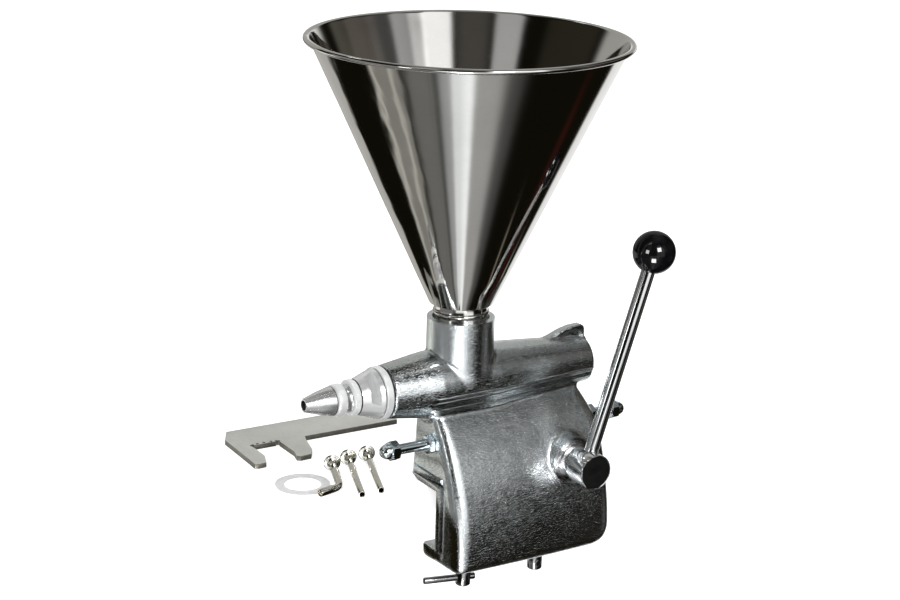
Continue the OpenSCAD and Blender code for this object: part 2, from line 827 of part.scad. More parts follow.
module crosshead() {
    color("silver") difference() {
        bar_x(crosshead_x, pin_x + crosshead_tail, crosshead_d);
        bar_x(crosshead_x - over, crosshead_x + rod_socket, piston_rod_d);
        translate([crosshead_x + crosshead_base, -arm_t / 2 - clear, barrel_z - crosshead_d])
            cube([crosshead_d * 2, arm_t + 2 * clear, 2 * crosshead_d]);
        bar_y(crosshead_d, -crosshead_d, pin_d, x = pin_x, z = barrel_z);
    }
}

module crosshead_pin() {
    half = sqrt(pow(crosshead_d / 2, 2) - pow(pin_d / 2, 2));
    color("dimgray") bar_y(half, -half, pin_d, x = pin_x, z = barrel_z);
}

module valve_seat() {
    color("white") ring_x_at(seat_front, -liner_front, liner_d, valve_bore_d);
}

module valve_disc() {
    color("silver") {
        bar_x(seat_front - valve_disc_t, seat_front, valve_disc_d);
        bar_x(seat_front - valve_disc_t - valve_stem_l, seat_front - valve_disc_t, valve_stem_d);
    }
}

// Coil spring between the valve disc and the union's shoulder
spring_x0 = seat_front - valve_disc_t - spring_wire / 2;
spring_x1 = spring_seat + spring_wire / 2;
spring_count = spring_turns * spring_steps;
function spring_point(i, j) =
    let (a = 360 * i / spring_steps,
         x = spring_x0 + (spring_x1 - spring_x0) * i / spring_count,
         b = 360 * j / spring_sides,
         r = spring_mean_d / 2 + spring_wire / 2 * cos(b))
    [x + spring_wire / 2 * sin(b), r * cos(a), r * sin(a)];

module valve_spring() {
    n = spring_sides;
    points = [for (i = [0 : spring_count], j = [0 : n - 1]) spring_point(i, j)];
    sides = [for (i = [0 : spring_count - 1], j = [0 : n - 1], t = [0, 1])
        let (a = i * n + j, b = i * n + (j + 1) % n)
        t == 0 ? [a, b, b + n] : [a, b + n, a + n]];
    first = [for (j = [1 : n - 2]) [0, j + 1, j]];
    last_i = spring_count * n;
    last = [for (j = [1 : n - 2]) [last_i, last_i + j, last_i + j + 1]];
    color("silver") translate([0, 0, barrel_z])
        polyhedron(points = points, faces = concat(sides, first, last));
}

// Two flats for the spanner, cut across the union's cone
module union_flats() {
    flat_x = union_x1 - union_cone_l * 0.62;
    for (s = [-1, 1])
        translate([flat_x, s > 0 ? union_af / 2 : -union_af / 2 - union_ring_d, barrel_z - union_ring_d])
            cube([spanner_t + 4, union_ring_d, 2 * union_ring_d]);
}

module barrel_union() {
    color("gainsboro") difference() {
        union() {
            bar_x(union_rear, union_rear + union_thread_l + gasket_t, liner_d - 2 * run_gap);
            difference() {
                turned_x([[0, union_x2], [union_small_d / 2, union_x2],
                    [union_ring_d / 2 - 1.2, union_x1], [union_ring_d / 2 - 1.2, union_x1 + 1],
                    [union_ring_d / 2, union_x1 + 1], [union_ring_d / 2, union_rear],
                    [0, union_rear]]);
                union_flats();
            }
            bar_x(spigot_x, union_x2, spigot_d);
        }
        bar_x(spring_seat, union_rear + union_thread_l + gasket_t + over, union_bore_d);
        bar_x(spigot_x - over, spring_seat + over, spigot_bore_d);
    }
}

module union_seal() {
    color("whitesmoke") ring_x_at(union_rear, -barrel_front, union_ring_d - 1, liner_d);
}

module nozzle_lock_ring() {
    color("gainsboro") difference() {
        turned_x([[0, ring_x], [lock_ring_d / 2 - 1, ring_x], [lock_ring_d / 2, ring_x + 1],
            [lock_ring_d / 2, union_x2 - 1], [lock_ring_d / 2 - 1, union_x2], [0, union_x2]]);
        bar_x(ring_x - over, union_x2 + over, spigot_d);
    }
}

module nozzle_tip() {
    color("gainsboro") difference() {
        turned_x([[0, mouth_x], [tip_mouth_d / 2 - 0.6, mouth_x], [tip_mouth_d / 2, mouth_x + 0.8],
            [tip_band_d / 2 - 0.4, band_x], [tip_band_d / 2, band_x + 1.5],
            [tip_band_d / 2, groove_x - 1.5], [tip_band_d / 2 - 1.5, groove_x],
            [tip_groove_d / 2, groove_x], [tip_groove_d / 2, ring_x], [0, ring_x]]);
        bar_x(spigot_x, ring_x + over, spigot_d + 2 * run_gap);
        turned_x([[0, mouth_x + mouth_l - 0.01], [tip_bore_d / 2, mouth_x + mouth_l - 0.01],
            [spigot_bore_d / 2, spigot_x], [0, spigot_x]]);
        bar_x(mouth_x - over, mouth_x + mouth_l, tip_bore_d);
    }
}

module hopper_cone() {
    r0 = cone_small_d / 2;
    r1 = rim_d / 2 - rim_bead_d;
    slope = atan((r1 - r0) / (rim_z - cone_z));
    skin = sheet_t / cos(slope);
    inner = spigot_waist_d / 2 - sheet_t;
    at_bead = r1 - rim_r * 0.8 * tan(slope);
    color("silver") rotate_extrude($fn = 144) polygon(concat(
        [[inner, cone_z], [r0 - 0.6, cone_z], [r0, cone_z + 0.8], [at_bead, rim_z - rim_r * 0.8]],
        arc([r1 + rim_r, rim_z], rim_r, -135, 100, 14),
        [[r1 - rim_r * 0.2, rim_z + rim_r * 0.7], [r1 - skin - 0.2, rim_z]],
        [[r0 - skin - 0.6, cone_z + 2.4], [inner, cone_z + sheet_t]]));
}

// Tube with a bead, narrower above the neck than in it
module hopper_spigot() {
    fit = spigot_out_d / 2;
    waist = spigot_waist_d / 2;
    low = neck_floor + seal_t;
    color("silver") rotate_extrude($fn = 144) polygon([[waist - sheet_t, low], [fit, low],
        [fit, neck_top - 4], [fit - 0.8, neck_top - 2.6], [waist + 0.2, neck_top - 1.4],
        [waist, neck_top + 2], [waist + 0.5, neck_top + 3], [waist + 1.6, neck_top + 4],
        [waist + 2, neck_top + 5.5], [waist + 1.6, neck_top + 7], [waist + 0.5, neck_top + 8],
        [waist, neck_top + 9], [waist, cone_z], [waist - sheet_t, cone_z]]);
}

module hopper_seal() {
    color("whitesmoke") translate([0, 0, neck_floor]) difference() {
        cylinder(h = seal_t, d = neck_bore_d - 2 * run_gap);
        translate([0, 0, -over]) cylinder(h = seal_t + 2 * over, d = feed_d);
    }
}

// Threaded stop screw with a rounded tip, tip at its inner end
module stop_screw(x_tip, x_end) {
    s = x_end > x_tip ? 1 : -1;
    l = abs(x_end - x_tip);
    translate([x_tip, -stop_y, stop_z]) rotate([0, 90 * s, 0]) {
        translate([0, 0, tip_round]) cylinder(h = l - tip_round, d = stop_d);
        cylinder(h = tip_round, d1 = stop_d - 2 * tip_round, d2 = stop_d);
    }
}

// Cap nut with its dome, opening at x0 and pointing along s
module cap_nut(x0, s) {
    translate([x0, -stop_y, stop_z]) rotate([0, s > 0 ? 0 : 180, 0]) difference() {
        union() {
            hex_x(0, cap_nut_t, nut_af);
            intersection() {
                translate([cap_nut_t - 1, 0, 0]) sphere(d = nut_af - 2);
                translate([cap_nut_t - 1, -nut_af, -nut_af]) cube(2 * nut_af);
            }
        }
        translate([-over, 0, 0]) rotate([0, 90, 0]) cylinder(h = cap_nut_t + over, d = stop_d);
    }
}

// Thin nut with its bore, from x0 to x1
module lock_nut(x0, x1) {
    translate([0, -stop_y, stop_z]) difference() {
        hex_x(x0, x1, nut_af);
        translate([x0 - over, 0, 0]) rotate([0, 90, 0])
            cylinder(h = x1 - x0 + 2 * over, d = stop_d + 2 * run_gap);
    }
}

module front_stop_screw() {
    color("lightsteelblue") stop_screw(front_stop_x, front_cap_x - cap_nut_t);
}

module front_lock_nut() {
    color("lightsteelblue") lock_nut(-body_front - lock_nut_t, -body_front);
}

module front_cap_nut() {
    color("lightsteelblue") cap_nut(front_cap_x, -1);
}

module rear_stop_screw() {
    color("lightsteelblue") stop_screw(rear_stop_x, rear_cap_x + cap_nut_t);
}

module rear_lock_nut() {
    color("lightsteelblue") lock_nut(body_rear, body_rear + lock_nut_t);
}

module rear_cap_nut() {
    color("lightsteelblue") cap_nut(rear_cap_x, 1);
}

// Clamp screw with its cross-drilled head and the spigot that carries the pad
module clamp_screw(x, angle) {
    translate([x, -clamp_y, 0]) difference() {
        union() {
            translate([0, 0, -clamp_drop + 1]) cylinder(h = clamp_head_l - 1, d = clamp_head_d);
            translate([0, 0, -clamp_drop]) cylinder(h = 1, d1 = clamp_head_d - 2, d2 = clamp_head_d);
            translate([0, 0, -clamp_drop + clamp_head_l])
                cylinder(h = pad_base - spigot_gap + clamp_drop - clamp_head_l, d = clamp_d);
            translate([0, 0, pad_base - over]) cylinder(h = clamp_spigot_l + over, d = clamp_spigot_d);
        }
        rotate([0, 0, angle]) translate([-clamp_head_d, 0, bar_z]) rotate([0, 90, 0])
            cylinder(h = 2 * clamp_head_d, d = bar_d + 2 * run_gap);
    }
}

// Swivelling pressure pad on top of a clamp screw
module clamp_pad(x) {
    translate([x, -clamp_y, pad_base]) difference() {
        cylinder(h = clamp_pad_t, d = clamp_pad_d);
        translate([0, 0, -over])
            cylinder(h = clamp_spigot_l + spigot_gap + over, d = clamp_spigot_d + 2 * run_gap);
    }
}

// Tommy bar that slides through a clamp screw's head
module tommy_bar(x, angle, short_end) {
    translate([x, -clamp_y, bar_z]) rotate([0, 0, angle]) translate([-short_end, 0, 0])
        rotate([0, 90, 0]) {
            translate([0, 0, 0.6]) cylinder(h = bar_l - 1.2, d = bar_d);
            cylinder(h = 0.6, d1 = bar_d - 1.2, d2 = bar_d);
            translate([0, 0, bar_l - 0.6]) cylinder(h = 0.6, d1 = bar_d, d2 = bar_d - 1.2);
        }
}

module front_clamp_screw() {
    color("gray") clamp_screw(clamp_x, bar_angle);
}

module front_clamp_pad() {
    color("gray") clamp_pad(clamp_x);
}

module front_tommy_bar() {
    color("gray") tommy_bar(clamp_x, bar_angle, bar_short);
}

module rear_clamp_screw() {
    color("gray") clamp_screw(clamp_x + clamp_pitch, rear_bar_angle);
}

module rear_clamp_pad() {
    color("gray") clamp_pad(clamp_x + clamp_pitch);
}

module rear_tommy_bar() {
    color("gray") tommy_bar(clamp_x + clamp_pitch, rear_bar_angle, clamp_head_d / 2);
}

// Flat spanner with a jaw across its handle, and a toothed arc at the jaw's end
module spanner() {
    j = spanner_jaw;
    p = spanner_prong;
    w = spanner_w;
    right = p + spanner_gap;
    color("lightgray") translate([spanner_at[0], spanner_at[1], 0]) linear_extrude(spanner_t)
        difference() {
            polygon([[0, -0.96 * j], [0.2 * p, -j], [0.63 * p, -0.99 * j], [p, -0.62 * j], [p, 0],
                [right, 0], [right, -0.7 * j], [right - 0.16 * p, -0.94 * j], [right, -j],
                [right + 0.63 * p, -0.98 * j], [right + p, -0.74 * j],
                [right + 1.37 * p, -0.17 * j], [right + 1.53 * p, 0], [spanner_l, 0],
                [spanner_l, w], [0.74 * p, w], [0.16 * p, 0.57 * w], [0.05 * p, -0.62 * j]]);
            for (i = [0 : 6])
                translate([p + spanner_gap / 2 * (1 + cos(i * 30)), spanner_gap / 12 * sin(i * 30)])
                    circle(d = spanner_gap / 10, $fn = 24);
        }
}

module spare_gasket() {
    color("whitesmoke") translate([gasket_at[0], gasket_at[1], 0]) difference() {
        cylinder(h = gasket_t, d = gasket_d);
        translate([0, 0, -over]) cylinder(h = gasket_t + 2 * over, d = gasket_bore_d);
    }
}

// Lay something that points along +Z down on the table, resting on its flange's edge
module lie_down(at, l, d) {
    tilt = asin((tube_flange_d - d) / 2 / l);
    translate([at[0], at[1], 0]) rotate([0, 0, -tube_turn]) translate([0, 0, tube_flange_d / 2])
        rotate([90 + tilt, 0, 0]) children();
}

// Straight filling tube with a slanting end
module straight_tube(at) {
    lie_down(at, tube_l, tube_d) difference() {
        translate([0, 0, flange_t - 1]) cylinder(h = tube_l - flange_t, d = tube_d);
        translate([0, 0, -over]) cylinder(h = tube_l + 2 * over, d = tube_d - 1.4);
        translate([-tube_d, tube_d / 2, tube_l - tube_d * 1.6]) rotate([-32, 0, 0])
            cube([2 * tube_d, 2 * tube_d, 4 * tube_d]);
    }
}

// Domed flange of a filling tube, with the tube's bore
module tube_flange(at, l, d) {
    lie_down(at, l, d) difference() {
        union() {
            cylinder(h = flange_t - 1, d = tube_flange_d);
            translate([0, 0, flange_t - 1.01]) cylinder(h = 1.01, d = d + 3);
        }
        translate([0, 0, -over]) cylinder(h = flange_t, d = d - 1.4);
        translate([0, 0, flange_t - 1]) cylinder(h = 2, d = d);
    }
}

// Path of the bent filling tube: height, sideways place and lean of each ring
bent_path = concat([[flange_t - 1, 0, 0]],
    [for (i = [0 : 6]) let (a = bend_angle * i / 6)
        [bent_leg + bend_r * sin(a), bend_r * (1 - cos(a)), a]],
    [[bent_leg + bend_r * sin(bend_angle) + bent_end * cos(bend_angle),
      bend_r * (1 - cos(bend_angle)) + bent_end * sin(bend_angle), bend_angle]]);
// Ring of points around the path, at a radius
function bent_ring(p, r) =
    [for (j = [0 : bent_sides - 1]) let (b = 360 * j / bent_sides)
        [p[1] + r * cos(b) * cos(p[2]), r * sin(b), p[0] - r * cos(b) * sin(p[2])]];

module bent_tube() {
    n = bent_sides;
    k = len(bent_path);
    rings = concat([for (p = bent_path) bent_ring(p, bent_tube_d / 2)],
        [for (i = [k - 1 : -1 : 0]) bent_ring(bent_path[i], bent_tube_d / 2 - 0.7)]);
    points = [for (r = rings, q = r) q];
    faces = [for (i = [0 : 2 * k - 1], j = [0 : n - 1], t = [0, 1])
        let (a = i * n + j, b = i * n + (j + 1) % n,
             c = (i + 1) % (2 * k) * n + (j + 1) % n, d = (i + 1) % (2 * k) * n + j)
        t == 0 ? [a, c, b] : [a, d, c]];
    color("silver") lie_down(bent_tube_at, bent_l, bent_tube_d) rotate([0, 0, 180])
        polyhedron(points = points, faces = faces);
}

module bent_tube_flange() {
    color("silver") tube_flange(bent_tube_at, bent_l, bent_tube_d);
}

module left_tube() {
    color("silver") straight_tube(left_tube_at);
}

module left_tube_flange() {
    color("silver") tube_flange(left_tube_at, tube_l, tube_d);
}

module right_tube() {
    color("silver") straight_tube(right_tube_at);
}

module right_tube_flange() {
    color("silver") tube_flange(right_tube_at, tube_l, tube_d);
}

body_casting();
table_pad();
pad_screws();
cylinder_liner();
rear_plug();
cover_plate();
cover_gasket();
cover_screws();
near_bush();
inner_bush();
bearing_ring();
lever_shaft();
shaft_circlip();
rocker_arm();
arm_pin();
lever_hub();
hub_set_screw();
hub_end_cap();
lever_rod();
ball_knob();
piston();
piston_seals();
piston_rod();
crosshead();
crosshead_pin();
valve_seat();
valve_disc();
valve_spring();
barrel_union();
union_seal();
nozzle_lock_ring();
nozzle_tip();
hopper_cone();
hopper_spigot();
hopper_seal();
front_stop_screw();
front_lock_nut();
front_cap_nut();
rear_stop_screw();
rear_lock_nut();
rear_cap_nut();
front_clamp_screw();
front_clamp_pad();
front_tommy_bar();
rear_clamp_screw();
rear_clamp_pad();
rear_tommy_bar();
spanner();
spare_gasket();
bent_tube();
bent_tube_flange();
left_tube();
left_tube_flange();
right_tube();
right_tube_flange();
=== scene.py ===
"""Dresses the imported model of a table-clamped pastry filling machine.

Sizes in the classes are in millimetres, in the model's own frame; meshes are made in metres.
X runs along the barrel, the nozzle is towards -X, the operator stands on the -Y side.
"""
from __future__ import annotations

import json
import logging
import math
from dataclasses import dataclass, field
from enum import Enum
from typing import Callable, Iterable, Optional, Sequence

import bmesh
import bpy
import numpy as np
from mathutils import Matrix, Vector

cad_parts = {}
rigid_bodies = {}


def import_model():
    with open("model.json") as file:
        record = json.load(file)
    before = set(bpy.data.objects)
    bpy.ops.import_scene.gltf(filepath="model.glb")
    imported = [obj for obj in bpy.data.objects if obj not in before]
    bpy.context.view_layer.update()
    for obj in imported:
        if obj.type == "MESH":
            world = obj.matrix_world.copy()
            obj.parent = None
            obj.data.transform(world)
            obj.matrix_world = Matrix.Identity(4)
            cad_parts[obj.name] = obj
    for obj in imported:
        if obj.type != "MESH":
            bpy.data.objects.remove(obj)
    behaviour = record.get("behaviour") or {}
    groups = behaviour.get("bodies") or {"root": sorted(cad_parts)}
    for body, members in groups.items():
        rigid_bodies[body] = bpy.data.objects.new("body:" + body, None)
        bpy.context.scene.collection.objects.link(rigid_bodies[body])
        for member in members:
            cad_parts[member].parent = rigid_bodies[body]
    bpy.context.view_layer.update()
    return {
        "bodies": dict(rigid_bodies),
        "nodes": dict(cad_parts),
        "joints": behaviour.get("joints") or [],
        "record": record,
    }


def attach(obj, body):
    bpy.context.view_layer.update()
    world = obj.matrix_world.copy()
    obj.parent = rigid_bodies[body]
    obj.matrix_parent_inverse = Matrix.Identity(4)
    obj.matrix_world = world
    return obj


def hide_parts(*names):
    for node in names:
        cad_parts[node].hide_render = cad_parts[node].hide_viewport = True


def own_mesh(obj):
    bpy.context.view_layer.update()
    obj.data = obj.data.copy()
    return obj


LOG = logging.getLogger("filling_machine")
MM = 0.001
BARREL_Z = 98.0
MERGE = 1e-6
WHITE = (1.0, 1.0, 1.0)
Point = tuple[float, float, float]
Profile = list[tuple[float, float]]
Colour = tuple[float, float, float]
Field = np.ndarray
Object = bpy.types.Object
Material = bpy.types.Material
Socket = bpy.types.NodeSocket
PAIRS = ((0, 0), (0, 1), (0, 2), (1, 1), (1, 2), (2, 2))
BLOCK_FACES = [(0, 1, 3, 2), (4, 6, 7, 5), (0, 4, 5, 1), (2, 3, 7, 6), (0, 2, 6, 4), (1, 5, 7, 3)]
FRAME: dict = {}


class Axis(Enum):
    """The direction a turned piece lies in."""

    X = "x"
    Y = "y"
    Z = "z"


class Layout(Enum):
    """How a pattern's copies are laid out."""

    GRID = "grid"
    RING = "ring"


# Mesh helpers


def link_object(name: str, data: bpy.types.ID) -> Object:
    """Makes an object at the origin and links it to the scene.

    Args:
        name: the object's name.
        data: its mesh, lamp or camera data.

    Returns:
        The object.
    """
    obj = bpy.data.objects.new(name, data)
    bpy.context.scene.collection.objects.link(obj)
    return obj


def mesh_data(name: str, points: Iterable[Point], faces: Iterable[Sequence[int]]) -> bpy.types.Mesh:
    """Makes mesh data.

    Args:
        name: the mesh's name.
        points: corner points in metres.
        faces: corner numbers of each face.

    Returns:
        The mesh data.
    """
    mesh = bpy.data.meshes.new(name)
    mesh.from_pydata(points, [], faces)
    mesh.validate()
    mesh.update()
    return mesh


def add_mesh(name: str, verts: Iterable[Point], faces: Iterable[Sequence[int]],
             sharp_deg: float = 35.0) -> Object:
    """Makes a smooth-shaded mesh object with sharp edges kept.

    Args:
        name: the object's name.
        verts: corner points in millimetres.
        faces: corner numbers of each face.
        sharp_deg: edges that bend more than this stay sharp.

    Returns:
        The new object, linked to the scene.
    """
    points = [(x * MM, y * MM, z * MM) for x, y, z in verts]
    obj = link_object(name, mesh_data(name, points, [tuple(f) for f in faces]))
    tidy_normals(obj, sharp_deg)
    return obj


def tidy_normals(obj: Object, sharp_deg: float, recalc: bool = True) -> None:
    """Merges doubles, turns faces outwards and shades smooth with sharp edges kept.

    Args:
        obj: the mesh object.
        sharp_deg: edges that bend more than this stay sharp.
        recalc: False where the faces already point outwards.
    """
    bm = bmesh.new()
    bm.from_mesh(obj.data)
    bmesh.ops.remove_doubles(bm, verts=bm.verts, dist=MERGE)
    if recalc:
        bmesh.ops.recalc_face_normals(bm, faces=bm.faces)
    bm.to_mesh(obj.data)
    bm.free()
    shade(obj.data, sharp_deg)


def shade(mesh: bpy.types.Mesh, sharp_deg: float) -> None:
    """Shades a mesh smooth, apart from edges that bend more than an angle."""
    mesh.shade_smooth()
    mesh.set_sharp_from_angle(angle=math.radians(sharp_deg))


def block(name: str, xs: Sequence[float], ys: Sequence[float], zs: Sequence[float],
          turn: Optional[Matrix] = None, place: Point = (0, 0, 0)) -> Object:
    """Makes a block between two values on each axis.

    Args:
        name: the block's name.
        xs: the two values along X, in millimetres.
        ys: the two along Y.
        zs: the two along Z.
        turn: a rotation about the origin.
        place: a move after it.

    Returns:
        The block.
    """
    corners = [Vector((x, y, z)) for x in xs for y in ys for z in zs]
    if turn is not None:
        corners = [turn @ corner for corner in corners]
    return add_mesh(name, [tuple(corner + Vector(place)) for corner in corners], BLOCK_FACES)


def arc(u: float, v: float, radius: float, low: float, high: float, steps: int) -> Profile:
    """Points along an arc.

    Args:
        u: the centre's first coordinate.
        v: its second.
        radius: the arc's radius.
        low: where it starts, in degrees from the first coordinate's direction.
        high: where it ends.
        steps: how many points.

    Returns:
        The arc's points.
    """
    angles = np.radians(np.linspace(low, high, steps))
    return [(u + radius * math.cos(a), v + radius * math.sin(a)) for a in angles]


def round_corners(profile: Profile, radius: float, steps: int = 3, share: float = 0.42,
                  nearly_straight: float = 0.12) -> Profile:
    """Rounds the corners of a closed 2-D outline with short arcs.

    Args:
        profile: the outline's corners.
        radius: the rounding; each corner takes less where its edges are short.
        steps: pieces in each arc.
        share: the most of an edge that one corner takes.
        nearly_straight: corners that turn less than this, in radians, stay.

    Returns:
        The rounded outline.
    """
    out: Profile = []
    count = len(profile)
    for i, corner in enumerate(profile):
        p = Vector(corner)
        a = Vector(profile[i - 1]) - p
        b = Vector(profile[(i + 1) % count]) - p
        if a.length < MERGE or b.length < MERGE:
            continue
        turn = math.pi - a.angle(b)
        if turn < nearly_straight:
            out.append(corner)
            continue
        cut = min(radius * math.tan(turn / 2), share * a.length, share * b.length)
        start, end = p + a.normalized() * cut, p + b.normalized() * cut
        for k in range(steps + 1):
            t = k / steps
            q = start * (1 - t) ** 2 + p * 2 * t * (1 - t) + end * t * t
            out.append((q.x, q.y))
    return out


def lathe(profile: Profile, axis: Axis, at: Point, segments: int) -> tuple[list[Point], list[list[int]]]:
    """Turns a closed outline of (radius, distance) about an axis.

    Args:
        profile: closed outline; corners on the axis have radius 0.
        axis: the direction of the turned piece.
        at: where distance 0 lies, in millimetres.
        segments: steps round the axis.

    Returns:
        Points and faces.
    """
    verts: list[Point] = []
    rings: list[list[int]] = []
    for r, t in profile:
        count = 1 if r < MERGE else segments
        ring = []
        for k in range(count):
            a = 2 * math.pi * k / segments
            u, v = r * math.cos(a), r * math.sin(a)
            local = {Axis.X: (t, u, v), Axis.Y: (v, t, u), Axis.Z: (u, v, t)}[axis]
            ring.append(len(verts))
            verts.append(tuple(c + o for c, o in zip(local, at)))
        rings.append(ring)
    faces: list[list[int]] = []
    for i, a in enumerate(rings):
        b = rings[(i + 1) % len(rings)]
        for k in range(segments):
            k2 = (k + 1) % segments
            if len(a) == 1 and len(b) == 1:
                break
            if len(a) == 1:
                faces.append([a[0], b[k2], b[k]])
            elif len(b) == 1:
                faces.append([a[k], a[k2], b[0]])
            else:
                faces.append([a[k], a[k2], b[k2], b[k]])
    return verts, faces


def spun(name: str, profile: Profile, axis: Axis, at: Point, segments: int = 128,
         sharp_deg: float = 35.0, turn: Optional[Matrix] = None) -> Object:
    """Makes a turned piece from its outline.

    Args:
        name: the piece's name.
        profile: closed outline of (radius, distance).
        axis: the direction of the piece.
        at: where distance 0 lies.
        segments: steps round the axis.
        sharp_deg: edges that bend more than this stay sharp.
        turn: a rotation about `at`, applied last.

    Returns:
        The piece.
    """
    verts, faces = lathe(profile, axis, at, segments)
    if turn is not None:
        centre = Vector(at)
        verts = [tuple(turn @ (Vector(v) - centre) + centre) for v in verts]
    return add_mesh(name, verts, faces, sharp_deg)


def hexagon_reach(angle: float) -> float:
    """How much further than its flats a hexagon reaches at an angle in radians."""
    return 1 / math.cos((angle + math.pi / 6) % (math.pi / 3) - math.pi / 6)


def join(name: str, objs: Sequence[Object]) -> Object:
    """Joins mesh objects at the origin into one, keeping their smooth and sharp edges.

    Args:
        name: the joined object's name.
        objs: the objects, of which the first stays.

    Returns:
        The joined object.
    """
    bpy.ops.object.select_all(action="DESELECT")
    for o in objs:
        o.select_set(True)
    bpy.context.view_layer.objects.active = objs[0]
    bpy.ops.object.join()
    objs[0].name = name
    objs[0].data.name = name
    return objs[0]


def dressed_copy(node: str, name: str, soften: float = 0.25, sharp_deg: float = 32.0,
                 flat_deg: float = 0.5) -> Object:
    """Copies a CAD node's mesh, softens its sharp edges and shades it smooth.

    Args:
        node: the CAD node.
        name: the piece's name.
        soften: width of the bevel on sharp edges, in millimetres; 0 for none.
        sharp_deg: edges that bend more than this are sharp.
        flat_deg: faces that differ less than this are joined first.

    Returns:
        The piece, ready to stand for the node.
    """
    mesh = FRAME["nodes"][node].data.copy()
    mesh.name = name
    mesh.materials.clear()
    bm = bmesh.new()
    bm.from_mesh(mesh)
    bmesh.ops.remove_doubles(bm, verts=bm.verts, dist=MERGE)
    bmesh.ops.dissolve_limit(bm, angle_limit=math.radians(flat_deg), verts=bm.verts, edges=bm.edges)
    if soften:
        sharp = [e for e in bm.edges
                 if len(e.link_faces) == 2 and e.calc_face_angle(0.0) > math.radians(sharp_deg)]
        bmesh.ops.bevel(bm, geom=sharp, offset=soften * MM, offset_type="OFFSET", segments=2,
                        profile=0.5, affect="EDGES", clamp_overlap=True)
    bm.to_mesh(mesh)
    bm.free()
    shade(mesh, sharp_deg)
    return link_object(name, mesh)


def fit(obj: Object, body: str, slot: str, material: Material,
        *nodes: str) -> Object:
    """Gives a piece its material, its body and the nodes it stands for.

    Args:
        obj: the piece.
        body: the body that it rides on.
        slot: the record's material slot; not used.
        material: the finish.
        *nodes: the CAD nodes that it replaces.

    Returns:
        The piece.
    """
    obj.data.materials.clear()
    obj.data.materials.append(material)
    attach(obj, body)
    if nodes:
        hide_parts(*nodes)
        FRAME.setdefault("covered", set()).update(nodes)
    LOG.info("%s rides on %s: %d faces", obj.name, body, len(obj.data.polygons))
    return obj


# Finishes


